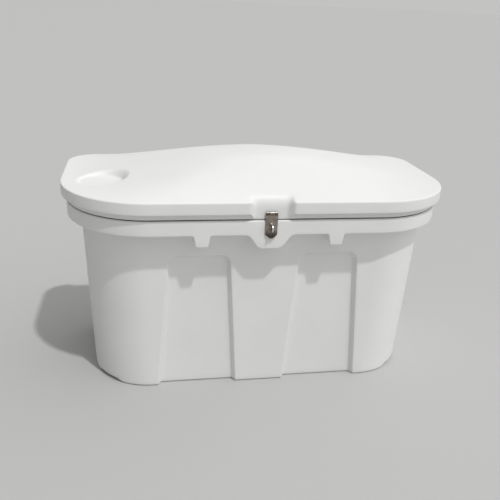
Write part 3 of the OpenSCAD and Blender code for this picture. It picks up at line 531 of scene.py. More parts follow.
class ShellMesh:
    """One mesh grown from closed rings, fans and flat patches, in millimetres."""

    def __init__(self) -> None:
        """Starts empty."""
        self.points: list[np.ndarray] = []
        self.faces: list[tuple[int, ...]] = []
        self.count = 0

    def add(self, points: np.ndarray) -> np.ndarray:
        """Adds points and returns their numbers."""
        self.points.append(np.asarray(points, float))
        self.count += len(points)
        return np.arange(self.count - len(points), self.count)

    def bridge(self, a: np.ndarray, b: np.ndarray) -> None:
        """Joins two closed rings of equal length with quads."""
        an, bn = np.roll(a, -1), np.roll(b, -1)
        self.faces += [tuple(q) for q in np.stack([a, an, bn, b], axis=1).tolist()]

    def rows(self, rings: Sequence[np.ndarray], start: np.ndarray | None = None) -> list[np.ndarray]:
        """Adds rings and joins each to the one before.

        Args:
            rings: the rings' points.
            start: numbers of a ring that the first one joins to.

        Returns:
            The numbers of each ring.
        """
        made = []
        before = start
        for ring in rings:
            now = self.add(ring)
            if before is not None:
                self.bridge(before, now)
            made.append(now)
            before = now
        return made

    def patch(self, edge: np.ndarray, inner: np.ndarray, holes: Sequence[np.ndarray] = ()) -> None:
        """Fills a ring with triangles that also use loose points and leave holes.

        Args:
            edge: numbers of the closed ring.
            inner: points inside it.
            holes: numbers of closed rings left open.
        """
        loops = [edge, *holes]
        loose = self.add(inner) if len(inner) else np.zeros(0, int)
        numbers = np.concatenate([*loops, loose])
        every = np.concatenate(self.points)
        links: list[tuple[int, int]] = []
        base = 0
        for loop in loops:
            links += [(base + i, base + (i + 1) % len(loop)) for i in range(len(loop))]
            base += len(loop)
        flat = [Vector((every[n][0], every[n][1])) for n in numbers]
        _, _, tris, origin, _, _ = delaunay_2d_cdt(flat, links, [], 4 if holes else 1, 1e-5)
        for tri in tris:
            self.faces.append(tuple(int(numbers[origin[v][0]]) for v in tri))

    def fan(self, ring: np.ndarray, tip: Sequence[float]) -> None:
        """Closes a ring with triangles to one point."""
        n = int(self.add(np.array([tip]))[0])
        self.faces += [(int(a), int(b), n) for a, b in zip(ring, np.roll(ring, -1))]

    def lathe(self, profile: Sequence[tuple[float, float]], place: Matrix, around: int = 32) -> None:
        """Turns a profile about the Z axis of a place and closes its ends.

        Args:
            profile: (radius, height) pairs; an end with radius 0 is a tip.
            place: where the axis stands, in millimetres.
            around: steps round the axis.
        """
        circle = unit_circle(around)
        made = self.rows([moved(raised(radius * circle, height), place) for radius, height in profile])
        for ring, height in ((made[0], profile[0][1]), (made[-1], profile[-1][1])):
            self.fan(ring, moved(np.array([[0.0, 0.0, height]]), place)[0])

    def block(self, low: Sequence[float], high: Sequence[float], round_: float) -> None:
        """Adds a block with rounded edges and corners.

        Args:
            low: lowest corner.
            high: highest corner.
            round_: radius of the edges.
        """
        lo, hi = np.array(low, float), np.array(high, float)
        plan = Plan(4, 1)
        c, half = (lo + hi) / 2.0, (hi - lo) / 2.0
        ends = np.array([[round_ - half[0], 0.0], [half[0] - round_, 0.0]])
        rings = []
        for up in (-1.0, 1.0):
            for w in (np.radians([0, 30, 60, 90]) if up < 0 else np.radians([90, 60, 30, 0])):
                inset = round_ * (1.0 - math.sin(w))
                r = max(round_ - inset, 0.05)
                front = np.array([[x[0], inset - half[1]] for x in ends])
                rear = np.array([[x[0], half[1] - inset] for x in ends])
                flat = plan.ring(half[0] - inset, half[1] - inset, r, r, front, rear)
                rings.append(raised(flat, up * (half[2] - round_ * (1.0 - math.cos(w)))) + c)
        made = self.rows(rings)
        self.fan(made[0], (c[0], c[1], lo[2]))
        self.fan(made[-1], (c[0], c[1], hi[2]))

    def build(self, name: str, sharp: float = 40.0) -> bpy.types.Object:
        """Makes the Blender object.

        Args:
            name: the piece's name.
            sharp: edges that turn by more degrees than this stay sharp.

        Returns:
            The smooth shaded object.
        """
        mesh = bpy.data.meshes.new(name)
        mesh.from_pydata((np.concatenate(self.points) * MM).tolist(), [], self.faces)
        bm = bmesh.new()
        bm.from_mesh(mesh)
        bmesh.ops.remove_doubles(bm, verts=bm.verts, dist=1e-7)
        bmesh.ops.recalc_face_normals(bm, faces=bm.faces)
        for edge in bm.edges:
            edge.smooth = len(edge.link_faces) != 2 or edge.calc_face_angle() < math.radians(sharp)
        for face in bm.faces:
            face.smooth = True
        bm.to_mesh(mesh)
        bm.free()
        piece = bpy.data.objects.new(name, mesh)
        bpy.context.scene.collection.objects.link(piece)
        return piece


def moved(points: np.ndarray, place: Matrix) -> np.ndarray:
    """Carries points through a matrix."""
    m = np.array(place)
    return points @ m[:3, :3].T + m[:3, 3]


def standing(at: Sequence[float], axis: Sequence[float], spin: float = 0.0) -> Matrix:
    """Place whose Z axis points along a direction.

    Args:
        at: the origin, in millimetres.
        axis: the direction.
        spin: turn about that axis, in degrees.

    Returns:
        The matrix.
    """
    turn = Vector(axis).to_track_quat("Z", "Y").to_matrix().to_4x4()
    return Matrix.Translation(Vector(at)) @ turn @ Matrix.Rotation(math.radians(spin), 4, "Z")


def dress(piece: bpy.types.Object, body: str, material: bpy.types.Material,
          nodes: Sequence[str]) -> None:
    """Gives a new piece its finish, body and the nodes that it stands for.

    Args:
        piece: the new object.
        body: the body that it rides on.
        material: the finish.
        nodes: CAD nodes that it replaces.
    """
    piece.data.materials.clear()
    piece.data.materials.append(material)
    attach(piece, body)
    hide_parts(*nodes)
    LOG.info("%s: %d faces on %s", piece.name, len(piece.data.polygons), body)


# sub-assemblies


@dataclass
class Tub:
    """Moulded tub: panelled walls, deep rim flange with tabs and latch boss, floor with bolt holes."""

    flange_half: tuple[float, float] = (585.0, 273.0)
    flange_radii: tuple[float, float] = (250.0, 82.0)
    flange_low: float = 524.8
    top: float = 569.5
    wall_half: tuple[float, float] = (543.4, 220.0)
    wall_radii: tuple[float, float] = (182.0, 45.0)
    taper: tuple[float, float] = (21.5, 2.2)
    wall: float = 6.0
    ledge: float = 30.0
    edge: float = 3.5
    foot: float = 8.0
    cove: float = 6.0
    panel_inner: tuple[float, float] = (77.0, 107.0)  # at the foot and at the panel's top
    panel_outer: tuple[float, float] = (321.0, 287.0)  # at the foot and at the panel's top
    panel_top: float = 444.8
    panel_depth: float = 16.0
    panel_round: float = 27.0
    panel_lead: tuple[float, float] = (-3.0, 10.0)  # where its step starts and ends
    boss: tuple[float, float, float] = (34.0, 63.0, 41.5)  # half width below and above, drop
    boss_curve: float = 26.0
    tab: tuple[float, float, float, float] = (197.0, 17.7, 24.5, 34.4)  # place, half widths, drop
    tab_root: float = 6.5
    tab_round: float = 6.0
    still: float = 300.0  # stations nearer than this stay in place
    relief: float = 9.0
    relief_rise: tuple[float, float] = (8.0, 110.0)  # where it starts to fade, over what height
    floor_inset: tuple[float, float] = (62.0, 30.0)  # rings that flatten the floor
    bowl: float = 10.0
    bolt: tuple[float, float, float] = (400.0, 120.0, 5.5)  # place along and across, radius
    pad: tuple[float, float, float, float] = (517.0, 165.12, 347.73, 24.0)  # middle of its face, half width
    plan: Plan = field(default_factory=Plan)

    def __post_init__(self) -> None:
        """Samples the lower edge of the flange along the front and the rear."""
        self.front, self.front_normal = self._edge(self.boss[2])
        self.rear, self.rear_normal = self._edge(0.0)
        self.front_band = self._band(self.front[:, 0])
        self.rear_band = self._band(self.rear[:, 0])
        turn = np.linspace(90.0, 0.0, self.plan.arc + 2)[1:-1]
        bump = smooth((turn - 20.0) / 10.0) * (1.0 - smooth((turn - 50.0) / 10.0))
        self.lift = self.plan.spread(0 * self.front_band, 0 * self.rear_band, 0.0, self.relief * bump)

    def _knots(self, z: float, end: float) -> np.ndarray:
        """Places along a wall where one feature hands over to the next.

        Args:
            z: height on the wall.
            end: where the corner starts.

        Returns:
            Distances from the middle.
        """
        t = min(max(z / self.panel_top, 0.0), 1.0)
        a = self.panel_inner[0] + (self.panel_inner[1] - self.panel_inner[0]) * t
        b = self.panel_outer[0] + (self.panel_outer[1] - self.panel_outer[0]) * t
        x, small, large, _ = self.tab
        lead, deep = self.panel_lead
        return np.array([0.0, self.boss[0], self.boss[1], a + lead, a + deep, x - large, x - small, x + small,
                         x + large, b - deep, b - lead, end])

    def _edge(self, boss_drop: float) -> tuple[np.ndarray, np.ndarray]:
        """Lower edge of the flange with its boss and tabs.

        Args:
            boss_drop: how far the boss hangs down.

        Returns:
            Points (place, height) and their normals into the flange.
        """
        k = self._knots(self.panel_top, self.flange_half[0] - self.flange_radii[0])
        drop = self.tab[3]
        curve = self.boss_curve if boss_drop else 0.0
        root, tip = self.tab_root, self.tab_round
        corners = [(k[0], -boss_drop, 0.0), (k[1], -boss_drop, curve), (k[2], 0.0, curve), (k[3], 0.0, 0.0),
                   (k[4], 0.0, 0.0), (k[5], 0.0, root), (k[6], -drop, tip), (k[7], -drop, tip),
                   (k[8], 0.0, root), (k[9], 0.0, 0.0), (k[10], 0.0, 0.0), (k[11], 0.0, 0.0)]
        points, normals = filleted(corners, [8, 6, 4, 14, 8, 6, 7, 6, 8, 14, 5])
        return doubled(points), doubled(normals)

    def _band(self, x: np.ndarray) -> np.ndarray:
        """Station numbers of places along the flange, signed by side."""
        knots = self._knots(self.panel_top, self.flange_half[0] - self.flange_radii[0])
        return np.sign(x) * np.interp(np.abs(x), knots, np.arange(len(knots)))

    def _places(self, band: np.ndarray, z: float, end: float) -> np.ndarray:
        """Places of the stations on the wall at one height."""
        knots = self._knots(z, end)
        return np.sign(band) * np.interp(np.abs(band), np.arange(len(knots)), knots)

    def _sink(self, x: np.ndarray, z: float) -> np.ndarray:
        """Depth of the panels.

        Args:
            x: places along the wall.
            z: height on the wall.

        Returns:
            The depth at each place.
        """
        t = min(max(z / self.panel_top, 0.0), 1.0)
        a = self.panel_inner[0] + (self.panel_inner[1] - self.panel_inner[0]) * t
        b = self.panel_outer[0] + (self.panel_outer[1] - self.panel_outer[0]) * t
        side = np.minimum(np.abs(x) - a, b - np.abs(x))
        up = self.panel_top - z
        r = self.panel_round
        inside = r - np.hypot(np.maximum(r - side, 0.0), max(r - up, 0.0))
        d = np.where((side < r) & (up < r), inside, np.minimum(side, up))
        lead, deep = self.panel_lead
        return self.panel_depth * smooth((d - lead) / (deep - lead))

    def _size(self, z: float, inset: float) -> tuple[float, float, float, float]:
        """Half sizes and radii of the wall at one height."""
        fall = 1.0 - z / self.flange_low
        hl, hd = (half - taper * fall - inset for half, taper in zip(self.wall_half, self.taper))
        rf, rr = (max(radius - inset, 6.0) for radius in self.wall_radii)
        return hl, hd, rf, rr

    def _relief(self, z: float) -> float:
        """Share of the corner relief that is left at a height."""
        return 1.0 - float(smooth((z - self.relief_rise[0]) / self.relief_rise[1]))

    def wall_ring(self, z: float, inset: float, lift: float = 0.0, panels: float = 1.0) -> Ring:
        """Ring of the wall.

        Args:
            z: height.
            inset: how far it lies behind the outer wall.
            lift: share of the corner relief.
            panels: share of the panel depth.

        Returns:
            The ring's points.
        """
        hl, hd, rf, rr = self._size(z, inset)
        fx = self._places(self.front_band, z, hl - rf)
        rx = self._places(self.rear_band, z, hl - rr)
        flat = self.plan.ring(hl, hd, rf, rr, np.column_stack([fx, panels * self._sink(fx, z) - hd]),
                              np.column_stack([rx, hd - panels * self._sink(rx, z)]))
        return np.column_stack([flat, z + lift * self.lift])

    def _stretched(self, x: np.ndarray, end: float) -> np.ndarray:
        """Places whose outer part is stretched so that the last one falls on an end.

        Args:
            x: places along the flange.
            end: where the corner starts.

        Returns:
            The new places.
        """
        far, still = np.abs(x), self.still
        spread = still + (far - still) * (end - still) / (far.max() - still)
        return np.sign(x) * np.where(far < still, far, spread)

    def edge_ring(self, size: tuple[float, float, float, float], off: float, blend: float = 0.0,
                  height: float = 0.0) -> Ring:
        """Ring that follows the lower edge of the flange.

        Args:
            size: half length, half depth and the two radii.
            off: distance from the edge, into the flange.
            blend: share by which it has become level.
            height: height that it becomes level at.

        Returns:
            The ring's points.
        """
        hl, hd, rf, rr = size
        f = self.front + self.front_normal * off
        r = self.rear + self.rear_normal * off
        fx = f[:, 0] + (self.front[:, 0] - f[:, 0]) * blend
        rx = r[:, 0] + (self.rear[:, 0] - r[:, 0]) * blend
        front = np.column_stack([self._stretched(fx, hl - rf), np.full_like(fx, -hd)])
        rear = np.column_stack([self._stretched(rx, hl - rr), np.full_like(rx, hd)])
        flat = self.plan.ring(hl, hd, rf, rr, front, rear)
        z = self.flange_low + self.plan.spread(f[:, 1], r[:, 1], off)
        return np.column_stack([flat, z + (height - z) * blend])

    def flange_size(self, inset: float) -> tuple[float, float, float, float]:
        """Half sizes and radii of the flange at an inset from its face."""
        return (self.flange_half[0] - inset, self.flange_half[1] - inset, self.flange_radii[0] - inset,
                self.flange_radii[1] - inset)

    def build(self, material: bpy.types.Material) -> None:
        """Builds and dresses the tub.

        Args:
            material: the plastic.
        """
        m = ShellMesh()
        quarter = np.radians(np.linspace(0.0, 90.0, 6))
        far, near = self.floor_inset
        under = [self.wall_ring(0.0, far, 0.0, 0.6), self.wall_ring(0.0, near, 0.7)]
        under += [raised(self.wall_ring(0.0, self.foot * (1 - math.sin(w)), 1.0)[:, :2],
                         self.foot * (1 - math.cos(w)) + self.lift) for w in quarter]
        heights = [20, 40, 70, 110, 160, 215, 270, 320, 360, 390, 404, *np.arange(410.0, 453.0, 2.0)]
        walls = [self.wall_ring(z, 0.0, self._relief(z)) for z in heights]
        last = walls[-1]
        top = self._size(self.flange_low, 0.0)
        brow = self.edge_ring(top, -self.cove)
        upper = [last + (brow - last) * t for t in (0.2, 0.4, 0.6, 0.8)]
        cove = []
        for w in np.radians(np.linspace(0.0, 90.0, 7)):
            out = self.cove * (1.0 - math.cos(w))
            cove.append(self.edge_ring((top[0] + out, top[1] + out, top[2] + out, top[3] + out),
                                       -self.cove * (1.0 - math.sin(w))))
        lip = self.edge_ring(self.flange_size(self.edge), 0.0)
        shelf = [cove[-1] + (lip - cove[-1]) * t for t in (0.3, 0.6, 0.85)]
        lower = [self.edge_ring(self.flange_size(self.edge * (1 - math.sin(w))),
                                self.edge * (1 - math.cos(w))) for w in quarter]
        rise = self.top - self.edge
        face = [self.edge_ring(self.flange_size(0.0), self.edge, t, rise) for t in (0.25, 0.5, 0.75, 1.0)]
        level = lambda inset, z: self.edge_ring(self.flange_size(inset), 0.0, 1.0, z)
        crest = [level(self.edge * (1 - math.cos(w)), rise + self.edge * math.sin(w)) for w in quarter[1:]]
        roll = self.wall / 2.0
        ledge = [level(q, self.top) for q in (12.0, 20.0)]
        ledge += [level(self.ledge - roll + roll * math.sin(w), self.top - roll + roll * math.cos(w))
                  for w in np.radians(np.linspace(0.0, 180.0, 9))]
        ledge += [level(q, self.top - self.wall) for q in (18.0, self.wall + 3.0)]
        ledge += [level(self.wall + 3.0 * (1 - math.sin(w)), self.top - self.wall - 3.0 * (1 - math.cos(w)))
                  for w in quarter[1:]]
        inner = self.edge_ring(self.flange_size(self.wall), self.wall)
        drop = [ledge[-1] + (inner - ledge[-1]) * t for t in (0.5, 1.0)]
        edge_in = self._size(self.flange_low, self.wall)
        lip_in = self.edge_ring(edge_in, self.wall)
        drop += [inner + (lip_in - inner) * t for t in (0.5, 0.95, 1.0)]
        first_in = self.wall_ring(heights[-1], self.wall)
        inside = [lip_in + (first_in - lip_in) * t for t in (0.03, 0.4, 0.8)]
        inside += [self.wall_ring(z, self.wall, self._relief(z)) for z in reversed(heights) if z > 18.0]
        bowl = self.bowl
        inside += [raised(self.wall_ring(self.wall, self.wall + bowl * (1 - math.cos(w)), 1.0)[:, :2],
                          self.wall + bowl * (1 - math.sin(w)) + self.lift) for w in quarter]
        inside += [self.wall_ring(self.wall, self.wall + near, 0.7), self.wall_ring(self.wall, far, 0.0, 0.6)]
        made = m.rows([*under, *walls, *upper, *cove, *shelf, *lower, *face, *crest, *ledge, *drop, *inside])
        self._floor(m, made[0], made[-1])
        for side in (-1.0, 1.0):
            x, y, z, half = self.pad
            low, high = sorted((side * x, side * (x + 16.0)))
            m.block((low, y - half, z - half), (high, y + half, z + half), 3.0)
        dress(m.build("tub_shell"), Body.TUB.value, material, ["tub"])

    def _floor(self, m: ShellMesh, below: np.ndarray, above: np.ndarray) -> None:
        """Closes the floor on both faces round the deck bolt holes.

        Args:
            m: the mesh.
            below: ring of the underside.
            above: ring of the upper face.
        """
        rims: list[list[np.ndarray]] = [[], []]
        for x in (-self.bolt[0], self.bolt[0]):
            for y in (-self.bolt[1], self.bolt[1]):
                hole = np.array([x, y]) + self.bolt[2] * unit_circle(24)
                pair = m.rows([raised(hole, z) for z in (0.0, self.wall)])
                rims[0].append(pair[0])
                rims[1].append(pair[1])
        xs, ys = np.meshgrid(np.linspace(-380.0, 380.0, 20), np.linspace(-100.0, 100.0, 6))
        for ring, holes, z in ((below, rims[0], 0.0), (above, rims[1], self.wall)):
            loose = np.column_stack([xs.ravel(), ys.ravel(), np.full(xs.size, z)])
            m.patch(ring, loose, holes)


@dataclass
class Lid:
    """Moulded lid: neck, rim with latch pocket and hinge rebate, crown with its round dish."""

    half: tuple[float, float] = (600.0, 285.0)
    radii: tuple[float, float] = (262.0, 94.0)
    seam: float = 572.8
    neck: float = 18.0
    rim_low: float = 590.8
    rim_top: float = 625.8
    wall: float = 7.0
    rise: float = 84.0
    lift: float = 0.6
    power: float = 2.65
    arch: tuple[float, float, float] = (0.68, 0.32, 0.083)  # shares of bow and fall, shift of the fall
    ease: tuple[float, float, float] = (0.95, 20.0, 140.0)  # less power, from where, over what depth
    pocket: tuple[float, float, float] = (269.0, 47.0, 64.0)  # floor, half width at floor and face
    rebate: tuple[float, float, float] = (273.0, 490.0, 500.0)  # floor, half width at floor and face
    dish: tuple[float, float, float] = (-480.0, -55.0, 64.0)  # middle, radius of its floor
    dish_floor: float = 624.5
    dish_slope: float = 1.5
    dish_soft: tuple[float, float] = (5.0, 11.0)  # rounding at its floor and its rim
    dish_under: tuple[float, float, float] = (12.0, 1.6, 6.0)  # inner face: wider, steeper, rounding
    step: float = 1.2  # what is left of the neck under pocket and rebate
    lip: float = 2.5
    rim_round: float = 4.0
    pocket_soft: float = 28.0
    pad: tuple[float, float, float, float, float] = (514.0, 52.3, 16.0, 25.0, 620.15)  # middle, half sizes, Z
    plan: Plan = field(default_factory=lambda: Plan(28, 16))

    def gauge(self, x: np.ndarray, y: np.ndarray) -> np.ndarray:
        """Scale of the plan outline that passes through each point.

        Args:
            x: places along the length.
            y: places across.

        Returns:
            The scale, 1 on the rim.
        """
        low, high = np.full(x.shape, 1e-4), np.full(x.shape, 1.3)
        for _ in range(40):
            s = (low + high) / 2.0
            r = np.where(y < 0.0, self.radii[0], self.radii[1])
            u = np.abs(x / s) - (self.half[0] - r)
            v = np.abs(y / s) - (self.half[1] - r)
            d = np.hypot(np.maximum(u, 0.0), np.maximum(v, 0.0)) + np.minimum(np.maximum(u, v), 0.0) - r
            low, high = np.where(d > 0.0, s, low), np.where(d > 0.0, high, s)
        return (low + high) / 2.0

    def crown(self, x: np.ndarray, y: np.ndarray) -> np.ndarray:
        """Height of the crown without the dish."""
        u = np.abs(x) / self.half[0]
        bow, fall, shift = self.arch
        along = bow * (1.0 - u * u) + fall * (1.0 - smooth((u + shift) / (1.0 + shift)))
        ease, start, reach = self.ease
        power = self.power - ease * smooth((start - y) / reach)
        return self.rim_top + self.lift + self.rise * along * (1.0 - self.gauge(x, y) ** power)

    def surface(self, x: np.ndarray, y: np.ndarray) -> np.ndarray:
        """Height of the crown with the dish."""
        r = np.hypot(x - self.dish[0], y - self.dish[1])
        slope = self.dish_floor + (r - self.dish[2]) * self.dish_slope
        bowl = -soft_min(np.full_like(r, -self.dish_floor), -slope, self.dish_soft[0])
        return soft_min(self.crown(x, y), bowl, self.dish_soft[1])

    def ceiling(self, x: np.ndarray, y: np.ndarray) -> np.ndarray:
        """Height of the inner face of the crown with the dish above it."""
        r = np.hypot(x - self.dish[0], y - self.dish[1])
        wider, steeper, soft = self.dish_under
        slope = self.dish_floor - self.wall + (r - self.dish[2] - wider) * self.dish_slope * steeper
        bowl = -soft_min(np.full_like(r, self.wall - self.dish_floor), -slope, soft)
        return soft_min(self.crown(x, y) - self.wall, bowl, soft)

    def outline(self, inset: float, pocket_y: float, rebate_y: float) -> tuple[np.ndarray, np.ndarray]:
        """Outline of the lid at an inset, with the pocket in front and the rebate behind.

        Args:
            inset: distance behind the rim face.
            pocket_y: distance of the pocket floor from the middle.
            rebate_y: distance of the rebate from the middle.

        Returns:
            Points in plan and their normals inwards.
        """
        hl, hd = self.half[0] - inset, self.half[1] - inset
        rf, rr = self.radii[0] - inset, self.radii[1] - inset
        slide = 0.4 * inset
        floor, face = self.pocket[1] + slide, self.pocket[2] + slide
        curve = 14.0 if hd - pocket_y > 6.0 else 2.0
        front, front_n = filleted([(0.0, -pocket_y, 0.0), (floor, -pocket_y, curve), (face, -hd, curve),
                                   (hl - rf, -hd, 0.0)], [7, 3, 18], 7)
        turn_in, turn_out = self.rebate[1] - slide, self.rebate[2] - slide
        bend = 9.0 if hd - rebate_y > 8.0 else 2.0
        rear, rear_n = filleted([(0.0, rebate_y, 0.0), (turn_in, rebate_y, 4.0), (turn_out, hd, bend),
                                 (max(hl - rr, turn_out + 4.0), hd, 0.0)], [24, 2, 2], 4)
        front, rear = doubled(front), doubled(rear)
        front_n, rear_n = doubled(front_n), -doubled(rear_n)
        flat = self.plan.ring(hl, hd, rf, rr, front, rear)
        turn = np.radians(np.linspace(0.0, 90.0, self.plan.arc + 2)[1:-1])
        fr = np.stack([-np.sin(turn), np.cos(turn)], axis=1)
        side = np.tile([-1.0, 0.0], (self.plan.end + 1, 1))
        rc = np.stack([-np.cos(turn), -np.sin(turn)], axis=1)
        flip = np.array([-1.0, 1.0])
        normals = np.concatenate([front_n, fr, side, rc, rear_n[::-1], rc[::-1] * flip, side[::-1] * flip,
                                  fr[::-1] * flip])
        return flat, normals

    def _points(self, edge: np.ndarray, gap: float, step: float) -> np.ndarray:
        """Loose points for the crown: a grid, and rings round the dish.

        Args:
            edge: boundary of the crown in plan.
            gap: least scale distance from the rim.
            step: spacing of the grid.

        Returns:
            Points in plan.
        """
        xs, ys = np.meshgrid(np.arange(-self.half[0], self.half[0], step),
                             np.arange(-self.half[1], self.half[1], step * 0.866))
        xs = xs + (np.arange(len(xs)) % 2)[:, None] * step / 2.0
        grid = np.column_stack([xs.ravel(), ys.ravel()])
        rings = [np.array([self.dish[:2]])]
        for r in (10, 20, 30, 40, 48, 54, 58, *np.arange(60.0, 98.0, 2.0), 101, 106):
            rings.append(rings[0] + r * unit_circle(max(12, int(r * 1.25))))
        away = np.hypot(grid[:, 0] - self.dish[0], grid[:, 1] - self.dish[1]) > 111.0
        every = np.concatenate([grid[away], *rings])
        keep = self.gauge(every[:, 0], every[:, 1]) < 1.0 - gap
        every = every[keep]
        near = np.full(len(every), 1e9)
        for p in edge:
            near = np.minimum(near, (every[:, 0] - p[0]) ** 2 + (every[:, 1] - p[1]) ** 2)
        pocket = (np.abs(every[:, 0]) < self.pocket[2] + 20.0) & (every[:, 1] < edge[:, 1].min() + 36.0)
        rebate = every[:, 1] > edge[:, 1].max() - 30.0
        return every[(near > 16.0) & ~pocket & ~rebate]

    def build(self, material: bpy.types.Material) -> None:
        """Builds and dresses the lid.

        Args:
            material: the plastic.
        """
        m = ShellMesh()
        flat, normal = self.outline(0.0, self.pocket[0], self.rebate[0])
        away = np.abs(flat[:, 0])
        deep = smooth((self.pocket[2] - away) / (self.pocket[2] - self.pocket[1])) * (flat[:, 1] < 0.0)
        back = smooth((self.rebate[2] - away) / (self.rebate[2] - self.rebate[1])) * (flat[:, 1] > 0.0)
        sink = (self.neck - self.step) * np.maximum(deep, back)
        neck, _ = self.outline(self.neck, self.pocket[0], self.rebate[0])
        quarter = np.radians(np.linspace(0.0, 90.0, 6))
        under = self.rim_low - sink
        rows = [raised(neck, self.seam), raised(neck, self.seam + 0.4 * (under - self.seam))]
        rows += [raised(neck, under - 0.02 * (self.neck - sink)), raised(neck + (flat - neck) * 0.04, under)]
        lip = self.lip
        tuck = flat + normal * lip
        rows += [raised(neck + (tuck - neck) * t, under) for t in (0.35, 0.7)]
        rows += [raised(flat + normal * lip * (1 - math.sin(w)), under + lip * (1 - math.cos(w)))
                 for w in quarter]
        soft = self.rim_round + (self.pocket_soft - self.rim_round) * deep
        corner = self.crown(flat[:, 0], flat[:, 1])
        shoulder = corner - soft
        base = under + lip
        rows += [raised(flat, base + (shoulder - base) * t) for t in (0.3, 0.65, 1.0)]
        inner = flat + normal * soft[:, None]
        high = self.surface(inner[:, 0], inner[:, 1])
        for t in np.linspace(0.0, 1.0, 8)[1:]:
            a, b, c = (1 - t) ** 2, 2 * t * (1 - t), t * t
            rows.append(raised((a + b) * flat + c * inner, a * shoulder + b * corner + c * high))
        made = m.rows(rows)
        loose = self._points(inner, 0.028, 11.0)
        m.patch(made[-1], raised(loose, self.surface(*loose.T)))
        self._lining(m, made[0])
        for side in (-1.0, 1.0):
            x, y, hx, hy, z = self.pad
            corners = np.array([(side * (x + i * hx), y + j * hy) for i in (-1, 1) for j in (-1, 1)])
            high = float(self.ceiling(corners[:, 0], corners[:, 1]).min()) + 4.0
            m.block((side * x - hx, y - hy, z), (side * x + hx, y + hy, high), 2.0)
        dress(m.build("lid_shell"), Body.LID.value, material, ["lid"])

    def _lining(self, m: ShellMesh, foot: np.ndarray) -> None:
        """Adds the inner faces of the lid.

        Args:
            m: the mesh.
            foot: lowest ring of the neck.
        """
        pocket, rebate = self.pocket[0] - self.wall, self.rebate[0] - self.wall
        throat, _ = self.outline(self.neck + self.wall, pocket, rebate)
        inner, normal = self.outline(self.wall, pocket, rebate)
        low = self.rim_low + self.wall - 2.0
        rows = [raised(throat, self.seam), raised(throat, low - 1.0)]
        rows.append(raised(throat + (inner - throat) * 0.06, low))
        rows += [raised(throat + (inner - throat) * t, low + 2.0 * t) for t in (0.4, 0.8, 0.97)]
        tall = self.crown(inner[:, 0], inner[:, 1]) - self.wall
        rows += [raised(inner, low + 4.0), raised(inner, tall - 6.0)]
        last = inner + normal * 6.0
        rows += [raised(inner + normal * 1.8, tall - 1.6), raised(last, self.ceiling(*last.T))]
        made = m.rows(rows, foot)
        loose = self._points(last, 0.05, 16.0)
        m.patch(made[-1], raised(loose, self.ceiling(*loose.T)))


# hardware


@dataclass(frozen=True)
class Edge:
    """Closed edge of a plate: points and the normals that point into the metal."""

    points: np.ndarray
    normals: np.ndarray

    @staticmethod
    def polygon(corners: Sequence[tuple[float, float, float]], counts: int | Sequence[int] = 1,
                steps: int = 5) -> "Edge":
        """Rounds the corners of a counterclockwise polygon.

        Args:
            corners: (u, v, radius) of each corner.
            counts: steps on each side, starting with the one from the last corner to the first.
            steps: steps on each rounding.

        Returns:
            The edge.
        """
        each = [counts] * len(corners) if isinstance(counts, int) else list(counts)
        start = tuple((a + b) / 2.0 for a, b in zip(corners[-1][:2], corners[0][:2]))
        path = [(*start, 0.0), *corners, (*start, 0.0)]
        points, normals = filleted(path, [max(1, each[0] // 2), *each[1:], max(1, each[0] // 2)], steps)
        return Edge(points[:-1], normals[:-1])

    @staticmethod
    def circle(u: float, v: float, radius: float, around: int = 28) -> "Edge":
        """Edge of a round hole, with the metal outside it."""
        out = unit_circle(around)
        return Edge(np.array([u, v]) + radius * out, out)

    def shifted(self, off: float) -> np.ndarray:
        """Points moved into the metal."""
        return self.points + self.normals * off


@dataclass
class Plate:
    """Flat metal with broken edges that may be bent as it is placed."""

    outer: Edge
    thick: float
    edge: float = 0.35
    holes: tuple[Edge, ...] = ()
    sinks: tuple[float, ...] = ()
    inner: np.ndarray | None = None

    def add_to(self, m: ShellMesh, place: Callable[[np.ndarray], np.ndarray]) -> None:
        """Adds the plate to a mesh.

        Args:
            m: the mesh.
            place: carries (u, v, depth) to millimetres in the frame.
        """
        flat = ShellMesh()
        fronts, backs = [], []
        sinks = [0.0, *(self.sinks or [0.0] * len(self.holes))]
        for edge, sink in zip((self.outer, *self.holes), sinks):
            rings = []
            for w in np.radians([0.0, 30.0, 60.0, 90.0]):
                off = self.edge * (1 - math.sin(w)) + sink
                depth = self.edge * (1 - math.cos(w))
                rings.append(raised(edge.shifted(off), depth))
            for w in np.radians([90.0, 60.0, 30.0, 0.0]):
                off = self.edge * (1 - math.sin(w))
                depth = self.thick - self.edge * (1 - math.cos(w))
                rings.append(raised(edge.shifted(off), depth))
            made = flat.rows(rings)
            fronts.append(made[0])
            backs.append(made[-1])
        for loops, depth in ((fronts, 0.0), (backs, self.thick)):
            loose = np.zeros((0, 3))
            if self.inner is not None:
                loose = raised(self.inner, depth)
            flat.patch(loops[0], loose, loops[1:])
        numbers = m.add(place(np.concatenate(flat.points)))
        m.faces += [tuple(int(numbers[i]) for i in face) for face in flat.faces]


class Recess(Enum):
    """Screw heads."""

    PAN = "pan"
    FLAT = "flat"


